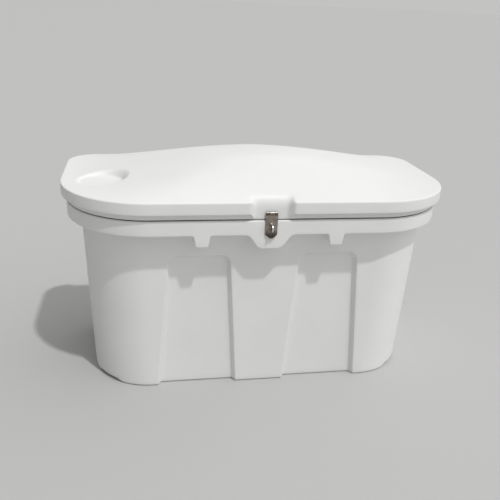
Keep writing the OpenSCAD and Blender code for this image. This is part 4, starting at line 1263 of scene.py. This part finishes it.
@dataclass
class Screws:
    """A set of cross-recessed screws."""

    spots: Sequence[Matrix]
    head: Recess
    length: float
    radius: float = 2.0
    head_radius: float = 3.8
    head_height: float = 2.0
    plate: float = 1.6
    point: float = 0.4
    around: int = 40

    def _top(self, r: float, turn: np.ndarray) -> np.ndarray:
        """Height of the head at one radius, with the cross sunk into it."""
        if self.head is Recess.PAN:
            base = self.head_height * math.sqrt(max(0.0, 1.0 - 0.62 * (r / self.head_radius) ** 2))
            cross, deep = 2.0, 1.2
        else:
            base, cross, deep = 0.0, 1.9, 0.9
        x, y = np.abs(r * np.cos(turn)), np.abs(r * np.sin(turn))
        slot = np.minimum(np.maximum(x - cross, y - 0.45), np.maximum(y - cross, x - 0.45))
        return base - deep * smooth(0.5 - slot / 0.3) * (1.0 - 0.35 * r / cross)

    def add_to(self, m: ShellMesh) -> None:
        """Adds every screw to a mesh."""
        turn = np.linspace(0.0, 2 * math.pi, self.around, endpoint=False)
        flat = lambda r, z: np.column_stack([r * np.cos(turn), r * np.sin(turn), z + 0.0 * turn])
        outer = self.head_radius if self.head is Recess.PAN else self.radius + self.plate - 0.1
        for spot in self.spots:
            radii = (0.25, 0.45, 0.62, 0.8, 1.1, 1.5, 1.9, 2.15, outer * 0.8)
            rings = [flat(r, self._top(r, turn)) for r in radii]
            if self.head is Recess.PAN:
                low = float(self._top(outer * 0.97, turn)[0])
                rings += [flat(outer * 0.92, float(self._top(outer * 0.92, turn)[0])),
                          flat(outer * 0.97, low * 0.86), flat(outer, low * 0.6), flat(outer, 0.0)]
            else:
                rings += [flat(outer, 0.0), flat(outer, -0.1)]
            neck = 0.0 if self.head is Recess.PAN else -self.plate
            rings += [flat(self.radius, neck), flat(self.radius, -self.length + self.point),
                      flat(self.radius - self.point, -self.length)]
            made = m.rows([moved(r, spot) for r in rings])
            deep = float(self._top(0.0, turn)[0])
            m.fan(made[0], moved(np.array([[0.0, 0.0, deep]]), spot)[0])
            m.fan(made[-1], moved(np.array([[0.0, 0.0, -self.length]]), spot)[0])


def along_front(front: float) -> Callable[[np.ndarray], np.ndarray]:
    """Places plate points on a front face, with the depth going to the rear."""
    return lambda p: np.column_stack([p[:, 0], p[:, 2] - front, p[:, 1]])


@dataclass
class Hasp:
    """Front hasp: leaf on the lid, slotted strap, eye plate on the tub and the eye that turns in it."""

    pin: tuple[float, float] = (-273.5, 592.8)  # Y and Z of its axis
    barrel: float = 3.7
    knuckle: float = 8.05
    gap: float = 0.3
    half: float = 17.5
    shoulder: float = 588.6
    strap_front: float = 277.2
    strap_thick: float = 2.0
    tip: float = 518.8
    tip_half: float = 4.2
    tip_rise: float = 10.0
    lip: tuple[float, float] = (11.0, 4.5)  # length, how far it bends out
    slot: tuple[float, float, float] = (4.2, 536.2, 562.1)  # half width, lower and upper end
    leaf_foot: float = 574.8
    pocket: float = 269.0
    plate: float = 1.6
    eye: tuple[float, float] = (-286.5, 550.8)  # Y and Z of its middle
    eye_size: tuple[float, float, float, float] = (11.0, 4.75, 5.0, 3.6)  # radius, hole, thickness, shank
    eye_back: float = -278.0
    shank_end: float = 260.7
    eye_plate: tuple[float, float, float] = (16.0, 529.8, 566.9)  # half width, lower and upper edge
    flange: float = 273.0
    wall: float = 6.0
    lid_wall: float = 7.0
    nut: float = 3.2
    screw_end: float = 1.0
    screw_hole: float = 2.25
    leaf_screws: float = 0.6
    eye_screws: tuple[float, float, float] = (0.62, 558.5, 7.0)  # share of width, upper row, lower row
    roll: float = 285.0

    def _rolled(self, p: np.ndarray, side: float, face: float, join: float, radius: float) -> np.ndarray:
        """Bends the tongues of a plate round the pin.

        Args:
            p: plate points (u, v, depth), the depth counted from the face that ends up outside.
            side: 1 if the tongue rises behind the pin, -1 if in front of it.
            face: where that face lies along Y.
            join: height where the tongue leaves the plate.
            radius: mean radius of the roll.

        Returns:
            Points in the frame.
        """
        y0, z0 = self.pin
        turn = np.clip((p[:, 1] - z0) / radius, 0.0, None)
        r = self.barrel - p[:, 2]
        step = (y0 + side * self.barrel - face) * smooth((p[:, 1] - join) / (z0 - join))
        flat_y = face + step - side * p[:, 2]
        bent = p[:, 1] > z0
        y = np.where(bent, y0 + side * r * np.cos(turn), flat_y)
        z = np.where(bent, z0 + r * np.sin(turn), p[:, 1])
        return np.column_stack([p[:, 0], y, z])

    def _tongue(self, left: float, right: float, radius: float) -> np.ndarray:
        """Loose points inside a tongue so that it bends smoothly."""
        rows = self.pin[1] + radius * np.radians(np.arange(-60.0, self.roll - 10.0, 15.0))
        xs = np.linspace(left + 1.2, right - 1.2, 4)
        return np.array([(x, v) for v in rows for x in xs])

    def build_strap(self, steel: bpy.types.Material) -> None:
        """Builds the strap with its slot, rolled knuckle and bent lip."""
        m = ShellMesh()
        radius = self.barrel - self.strap_thick / 2.0
        end = self.pin[1] + radius * math.radians(self.roll)
        h, k, t = self.half, self.knuckle, self.tip_half
        corners = [(-t, self.tip, 2.0), (t, self.tip, 2.0), (h, self.tip + self.tip_rise, 3.0),
                   (h, self.shoulder, 1.6), (k, self.shoulder, 0.8), (k, end, 0.7), (-k, end, 0.7),
                   (-k, self.shoulder, 0.8), (-h, self.shoulder, 1.6), (-h, self.tip + self.tip_rise, 3.0)]
        outer = Edge.polygon(corners, [6, 6, 6, 16, 3, 26, 4, 26, 3, 16])
        w, low, high = self.slot
        slot = Edge.polygon([(-w, high, 1.2), (w, high, 1.2), (w, low, 1.2), (-w, low, 1.2)], 6)
        rows = [(x, v) for v in np.arange(self.tip + 1.5, self.tip + self.lip[0] + 5.0, 1.5)
                for x in np.linspace(-6.0, 6.0, 5) if v < low - 1.5]
        sides = [(x, v) for v in np.arange(self.tip + 8.0, self.shoulder - 3.0, 4.0)
                 for x in (-12.5, -8.5, 8.5, 12.5) if v > self.tip + 12.0]
        inner = np.concatenate([np.array(rows + sides), self._tongue(-k, k, radius)])

        def place(p: np.ndarray) -> np.ndarray:
            """Rolls the knuckle and bends the lip forwards."""
            q = self._rolled(p, -1.0, -self.strap_front, self.shoulder, radius)
            reach, lift = self.lip
            bend = self.tip + reach
            below = np.maximum(bend + 1.5 - p[:, 1], 0.0)
            soft = np.where(below < 3.0, below * below / 6.0, below - 1.5)
            q[:, 1] -= soft * lift / reach
            return q

        Plate(outer, self.strap_thick, 0.45, (slot,), (), inner).add_to(m, place)
        dress(m.build("hasp_strap_plate", 50.0), Body.STRAP.value, steel, ["hasp_strap"])

    def build_leaf(self, steel: bpy.types.Material) -> None:
        """Builds the leaf on the lid with its two rolled knuckles."""
        m = ShellMesh()
        radius = self.barrel - self.plate / 2.0
        end = self.pin[1] + radius * math.radians(self.roll)
        h, k = self.half, self.knuckle + self.gap
        top = self.shoulder
        corners = [(-h, self.leaf_foot, 2.0), (h, self.leaf_foot, 2.0), (h, end, 0.6), (k, end, 0.6),
                   (k, top, 0.8), (-k, top, 0.8), (-k, end, 0.6), (-h, end, 0.6)]
        outer = Edge.polygon(corners, [34, 6, 34, 3, 26, 4, 26, 3])
        xs, middle = (-self.leaf_screws * h, self.leaf_screws * h), (self.leaf_foot + top) / 2.0
        holes = tuple(Edge.circle(x, middle, self.screw_hole) for x in xs)
        inner = np.concatenate([self._tongue(-h, -k, radius), self._tongue(k, h, radius)])

        def turned(p: np.ndarray) -> np.ndarray:
            """Rolls the knuckles, with the depth counted from the rear face."""
            flipped = np.column_stack([p[:, :2], self.plate - p[:, 2]])
            return self._rolled(flipped, 1.0, -self.pocket, top, radius)

        Plate(outer, self.plate, 0.35, holes, (self.plate, self.plate), inner).add_to(m, turned)
        dress(m.build("hasp_leaf_plate", 50.0), Body.LID.value, steel, ["hasp_leaf"])
        spots = [standing((x, -self.pocket - self.plate, middle), (0, -1, 0), 20.0 * x) for x in xs]
        screws = ShellMesh()
        Screws(spots, Recess.FLAT, self.plate + self.lid_wall + self.nut + self.screw_end).add_to(screws)
        dress(screws.build("hasp_leaf_screws"), Body.LID.value, self.screw_steel, ["hasp_screws"])

    def build_eye(self, steel: bpy.types.Material, bright: bpy.types.Material) -> None:
        """Builds the turning eye, its plate and the plate's screws.

        Args:
            steel: finish of the plate.
            bright: finish of the eye.
        """
        m = ShellMesh()
        half, low, high = self.eye_plate
        front = self.flange + self.plate
        share, upper, lift = self.eye_screws
        xs, zs = share * half, (upper, low + lift)
        corners = [(-half, low, 3.0), (half, low, 3.0), (half, high, 3.0), (-half, high, 3.0)]
        holes = [Edge.circle(x, z, self.screw_hole) for x in (-xs, xs) for z in zs]
        holes.append(Edge.circle(0.0, self.eye[1], self.eye_size[3] + 0.05))
        Plate(Edge.polygon(corners, 4), self.plate, 0.35, tuple(holes), (self.plate,) * 4 + (0.0,)).add_to(
            m, along_front(front))
        dress(m.build("eye_plate_sheet", 50.0), Body.TUB.value, steel, ["eye_plate"])
        spots = [standing((x, -front, z), (0, -1, 0), 31.0 * x + z) for x in (-xs, xs) for z in zs]
        screws = ShellMesh()
        Screws(spots, Recess.FLAT, self.plate + self.wall + self.nut + self.screw_end).add_to(screws)
        dress(screws.build("eye_plate_fixings"), Body.TUB.value, self.screw_steel,
              ["eye_plate_screws"])
        ring = ShellMesh()
        radius, hole, thick, shank = self.eye_size
        cut = self.eye_back - self.eye[0]
        start = math.acos(cut / radius)
        turn = np.linspace(start, 2 * math.pi - start, 56)
        rim = lambda a, r: (self.eye[0] + radius * math.cos(a), self.eye[1] + radius * math.sin(a), r)
        arc = [rim(a, 0.0) for a in turn[1:-1]]
        outer = Edge.polygon([rim(turn[0], 2.0), *arc, rim(turn[-1], 2.0)], 1, 2)
        hollow = Edge.circle(self.eye[0], self.eye[1], hole, 40)
        across = lambda p: np.column_stack([p[:, 2] - thick / 2.0, p[:, 0], p[:, 1]])
        Plate(outer, thick, 1.1, (hollow,)).add_to(ring, across)
        inset = 0.5
        length = -self.shank_end - self.eye_back
        ring.lathe([(shank - inset, -1.0), (shank, inset - 1.0), (shank, length - inset),
                    (shank - inset, length)], standing((0.0, self.eye_back, self.eye[1]), (0, 1, 0)))
        dress(ring.build("eye_ring", 50.0), Body.EYE.value, bright, ["turning_eye"])

    def build(self, steel: bpy.types.Material, bright: bpy.types.Material,
              screw_steel: bpy.types.Material) -> None:
        """Builds all pieces of the hasp.

        Args:
            steel: finish of the plates.
            bright: finish of the turning eye.
            screw_steel: finish of the screws.
        """
        self.screw_steel = screw_steel
        self.build_strap(steel)
        self.build_leaf(steel)
        self.build_eye(steel, bright)


@dataclass
class Hinge:
    """Screws of the rear piano hinge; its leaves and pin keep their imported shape."""

    length: float = 960.0
    count: int = 8
    face: float = 275.0
    line: float = 571.15
    reach: float = 18.0
    tub_grip: float = 12.2
    lid_grip: float = 13.2

    def build(self, steel: bpy.types.Material) -> None:
        """Builds the screws of both leaves."""
        pitch = self.length / self.count
        for name, body, up, grip, node in (
                ("hinge_fixings_tub", Body.TUB, -1, self.tub_grip, "hinge_screws_tub"),
                ("hinge_fixings_lid", Body.LID, 1, self.lid_grip, "hinge_screws_lid")):
            z = self.line + up * self.reach
            spots = [standing(((i + 0.5) * pitch - self.length / 2, self.face, z), (0, 1, 0), 37.0 * i)
                     for i in range(self.count)]
            m = ShellMesh()
            Screws(spots, Recess.PAN, grip).add_to(m)
            dress(m.build(name), body.value, steel, [node])


@dataclass
class Struts:
    """Gas strut tubes with rolled ends, and the screws of the strut brackets."""

    x: float = 500.0
    foot: tuple[float, float] = (165.12, 347.73)  # Y and Z of the pivot on the tub
    head: tuple[float, float] = (28.99, 600.15)  # Y and Z of the pivot on the lid
    tube: tuple[float, float] = (45.8, 270.79)  # its ends, along the axis from the foot
    radius: float = 10.0
    bore: float = 8.6
    groove: float = 11.0
    grips: tuple[float, float] = (16.0, 10.0)  # screws into the tub and into the lid
    plate: float = 3.0
    pad_x: float = 517.0
    pad_step: float = 13.86
    lid_spot: tuple[float, float, float, float] = (507.0, 52.3, 16.1, 620.15)  # middle, step, face

    def build(self, paint: bpy.types.Material, steel: bpy.types.Material) -> None:
        """Builds the tubes and the bracket screws.

        Args:
            paint: finish of the tubes.
            steel: finish of the screws.
        """
        low, high = self.tube
        r, b = self.radius, self.bore
        groove = low + self.groove
        profile = [(b - 1.0, high - 3.0), (b, high - 4.0), (b, low + 0.4), (b + 0.3, low), (r - 1.0, low),
                   (r - 0.35, low + 0.3), (r - 0.3, low + 1.2), (r, low + 2.4), (r, groove - 2.0),
                   (r - 0.25, groove - 1.4), (r - 0.9, groove - 0.5), (r - 0.9, groove + 0.5),
                   (r - 0.25, groove + 1.4), (r, groove + 2.0), (r, high - 3.0), (r - 0.4, high - 1.5),
                   (r - 1.2, high - 0.5), (r - 2.4, high), (3.0, high)]
        axis = (0.0, self.head[0] - self.foot[0], self.head[1] - self.foot[1])
        for side, name in ((-1.0, "left"), (1.0, "right")):
            m = ShellMesh()
            m.lathe(profile, standing((side * self.x, *self.foot), axis), 40)
            dress(m.build(f"strut_tube_{name}"), f"tube_{name}_body", paint, [f"tube_{name}"])
        tub, lid = [], []
        for side in (-1.0, 1.0):
            for dy in (-self.pad_step, self.pad_step):
                for dz in (-self.pad_step, self.pad_step):
                    at = (side * (self.pad_x - self.plate), self.foot[0] + dy, self.foot[1] + dz)
                    tub.append(standing(at, (-side, 0, 0), dy + 2 * dz))
            x, y, step, z = self.lid_spot
            lid += [standing((side * x, y + dy, z - self.plate), (0, 0, -1), 3 * dy) for dy in (-step, step)]
        for spots, name, body, node, grip in (
                (tub, "bracket_fixings_tub", Body.TUB, "bracket_tub_screws", self.grips[0]),
                (lid, "bracket_fixings_lid", Body.LID, "bracket_lid_screws", self.grips[1])):
            m = ShellMesh()
            Screws(spots, Recess.PAN, grip).add_to(m)
            dress(m.build(name), body.value, steel, [node])


@dataclass
class RimSeal:
    """Rubber seal on the ledge of the tub with a rounded top."""

    half: tuple[float, float] = (585.0, 273.0)
    radii: tuple[float, float] = (250.0, 82.0)
    inset: tuple[float, float] = (7.0, 12.0)
    height: tuple[float, float] = (569.5, 572.5)
    straight: float = 0.4
    plan: Plan = field(default_factory=lambda: Plan(24, 12))

    def build(self, rubber: bpy.types.Material) -> None:
        """Builds the seal."""
        m = ShellMesh()
        mid, half = sum(self.inset) / 2.0, (self.inset[1] - self.inset[0]) / 2.0
        low, high = self.height
        rise = high - low
        side = self.straight
        profile = [(mid - half, low), (mid - half, low + side * rise)]
        profile += [(mid - half * math.cos(w), low + rise * (side + (1.0 - side) * math.sin(w)))
                    for w in np.radians(np.linspace(15.0, 165.0, 9))]
        profile += [(mid + half, low + side * rise), (mid + half, low)]
        rings = []
        for q, z in profile:
            hl, hd, rf, rr = self.half[0] - q, self.half[1] - q, self.radii[0] - q, self.radii[1] - q
            front = np.column_stack([np.linspace(rf - hl, hl - rf, 24), np.full(24, -hd)])
            rear = np.column_stack([np.linspace(rr - hl, hl - rr, 24), np.full(24, hd)])
            flat = self.plan.ring(hl, hd, rf, rr, front, rear)
            rings.append(raised(flat, z))
        made = m.rows(rings)
        m.bridge(made[-1], made[0])
        dress(m.build("rim_seal_strip"), Body.TUB.value, rubber, ["rim_seal"])


@dataclass(frozen=True)
class BrokenEdges:
    """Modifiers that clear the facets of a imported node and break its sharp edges."""

    width: float = 0.0003
    angle: float = 35.0

    def add_to(self, node: bpy.types.Object) -> None:
        """Adds the modifiers."""
        flat = node.modifiers.new("clear_facets", "DECIMATE")
        flat.decimate_type = "DISSOLVE"
        flat.angle_limit = math.radians(1.0)
        bevel = node.modifiers.new("broken_edges", "BEVEL")
        bevel.width = self.width
        bevel.segments = 2
        bevel.limit_method = "ANGLE"
        bevel.angle_limit = math.radians(self.angle)
        bevel.harden_normals = True


# studio


@dataclass
class View:
    """Camera that looks at the box as the photograph does."""

    at: tuple[float, float, float] = (-0.36385, -1.87006, 1.14120)
    yaw: float = 10.83
    pitch: float = 22.09
    roll: float = -2.82
    focal: float = 610.93
    frame: float = 500.0

    def build(self) -> bpy.types.Object:
        """Makes the camera and returns it."""
        y, p, r = (math.radians(v) for v in (self.yaw, self.pitch, self.roll))
        ahead = Vector((math.sin(y) * math.cos(p), math.cos(y) * math.cos(p), -math.sin(p)))
        right = Vector((math.cos(y), -math.sin(y), 0.0))
        down = ahead.cross(right)
        across = math.cos(r) * right + math.sin(r) * down
        below = -math.sin(r) * right + math.cos(r) * down
        data = bpy.data.cameras.new("view")
        data.sensor_width = 36.0
        data.lens = self.focal * data.sensor_width / self.frame
        camera = bpy.data.objects.new("view", data)
        turn = Matrix((across, -below, -ahead)).transposed().to_4x4()
        camera.matrix_world = Matrix.Translation(Vector(self.at)) @ turn
        bpy.context.scene.collection.objects.link(camera)
        bpy.context.scene.camera = camera
        return camera


@dataclass
class Studio:
    """Pale floor, soft sky that is brighter to the right front, and a soft key from the upper right front."""

    floor: Colour = (0.50, 0.50, 0.495)
    backdrop: Colour = (0.545, 0.545, 0.54)
    sky: tuple[float, float] = (0.265, 0.58)
    sky_lean: tuple[float, float, float] = (0.92, -0.20, 0.0)
    key: float = 1.48
    key_from: tuple[float, float, float] = (0.233, -0.388, 0.892)
    key_angle: float = 2.2
    reach: float = 900.0

    def build(self) -> None:
        """Makes the floor, the world and the lamp."""
        scene = bpy.context.scene
        scene.view_settings.view_transform = "Standard"
        self._floor(scene)
        self._world(scene)
        lamp = bpy.data.lights.new("key", "SUN")
        lamp.energy = self.key
        lamp.angle = math.radians(self.key_angle)
        holder = bpy.data.objects.new("key", lamp)
        holder.rotation_euler = Vector(self.key_from).to_track_quat("Z", "Y").to_euler()
        scene.collection.objects.link(holder)

    def _floor(self, scene: bpy.types.Scene) -> None:
        """Makes the floor with its faint mottling.

        Args:
            scene: the scene.
        """
        mesh = bpy.data.meshes.new("floor")
        r = self.reach
        mesh.from_pydata([(-r, -r, 0), (r, -r, 0), (r, r, 0), (-r, r, 0)], [], [(0, 1, 2, 3)])
        floor = bpy.data.objects.new("floor", mesh)
        g = Graph("pale_floor")
        cloud = g.noise(2.0, 3.0)
        colour = g.mix(cloud * 0.5, self.floor, tuple(0.97 * c for c in self.floor))
        mesh.materials.append(g.finish(Base_Color=colour, Roughness=0.9, Specular_IOR_Level=0.1))
        scene.collection.objects.link(floor)

    def _world(self, scene: bpy.types.Scene) -> None:
        """Makes the sky, and the plain backdrop that the camera sees instead of it.

        Args:
            scene: the scene.
        """
        world = bpy.data.worlds.new("soft_sky")
        scene.world = world
        world.use_nodes = True
        g = Graph.of_tree(world.node_tree)
        way = g.add("ShaderNodeTexCoord", {}, {}, "Generated")
        lean = g.add("ShaderNodeVectorMath", {"operation": "DOT_PRODUCT"}, {0: way, 1: self.sky_lean},
                     "Value")
        up = g.add("ShaderNodeSeparateXYZ", {}, {0: way}, "Z")
        level = (self.sky[0] + self.sky[1] * up) * (1.0 + lean)
        rays = [g.add("ShaderNodeLightPath", {}, {}, f"Is {kind} Ray")
                for kind in ("Camera", "Glossy", "Transmission")]
        seen = rays[0] + rays[1] + rays[2]
        sky = g.add("ShaderNodeCombineColor", {}, {0: level, 1: level, 2: level})
        colour = g.mix(seen, sky, self.backdrop)
        back = world.node_tree.nodes["Background"]
        g.set(back, "Color", colour)
        g.set(back, "Strength", 1.0)


def main() -> None:
    """Builds the dressed dock box."""
    logging.basicConfig(level=logging.INFO, format="%(message)s")
    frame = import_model()
    View().build()
    Studio().build()
    plastic, rubber, screws, paint = (finish.material() for finish in (
        MouldedPlastic(), SEAL_RUBBER, SCREW_STEEL, TUBE_PAINT))
    hinge = BrushedSteel("hinge_steel", (0.62, 0.605, 0.585), (0.40, 0.385, 0.37), (0.04, 1.0, 1.0),
                         0.26).material()
    # the strap gets a painted dark reflection on its foot and a painted shadow line under its knuckle
    strap = BrushedSteel("strap_steel", foot=(0.5245, 0.5475), painted_shadow_line=(0.5862, 0.5898)).material()
    # the turning eye gets painted shade on its sides
    bright = BrushedSteel("bright_steel", (0.78, 0.74, 0.69), (0.46, 0.42, 0.38), (1.0, 0.05, 1.0), 0.16,
                          sides=0.9).material()
    Tub().build(plastic)
    Lid().build(plastic)
    RimSeal().build(rubber)
    Hasp().build(strap, bright, screws)
    Hinge().build(screws)
    Struts().build(paint, screws)
    finishes = {Slot.SHELL: plastic, Slot.SEAL: rubber, Slot.STEEL: hinge, Slot.TUBE: paint,
                Slot.SCREW: screws, Slot.ROD: POLISHED_ROD.material(), Slot.FITTING: BLACK_NYLON.material(),
                Slot.BRACKET: ZINC_PLATE.material()}
    broken = BrokenEdges()
    for part in frame["record"]["subparts"]:
        node = frame["nodes"][part["node"]]
        node.data.materials.clear()
        node.data.materials.append(finishes[Slot(part["material_slot"])])
        if part["node"] not in ("tub", "lid"):
            broken.add_to(node)
        LOG.info("%s: %s", part["node"], part["material_slot"])


if __name__ == "__main__":
    main()
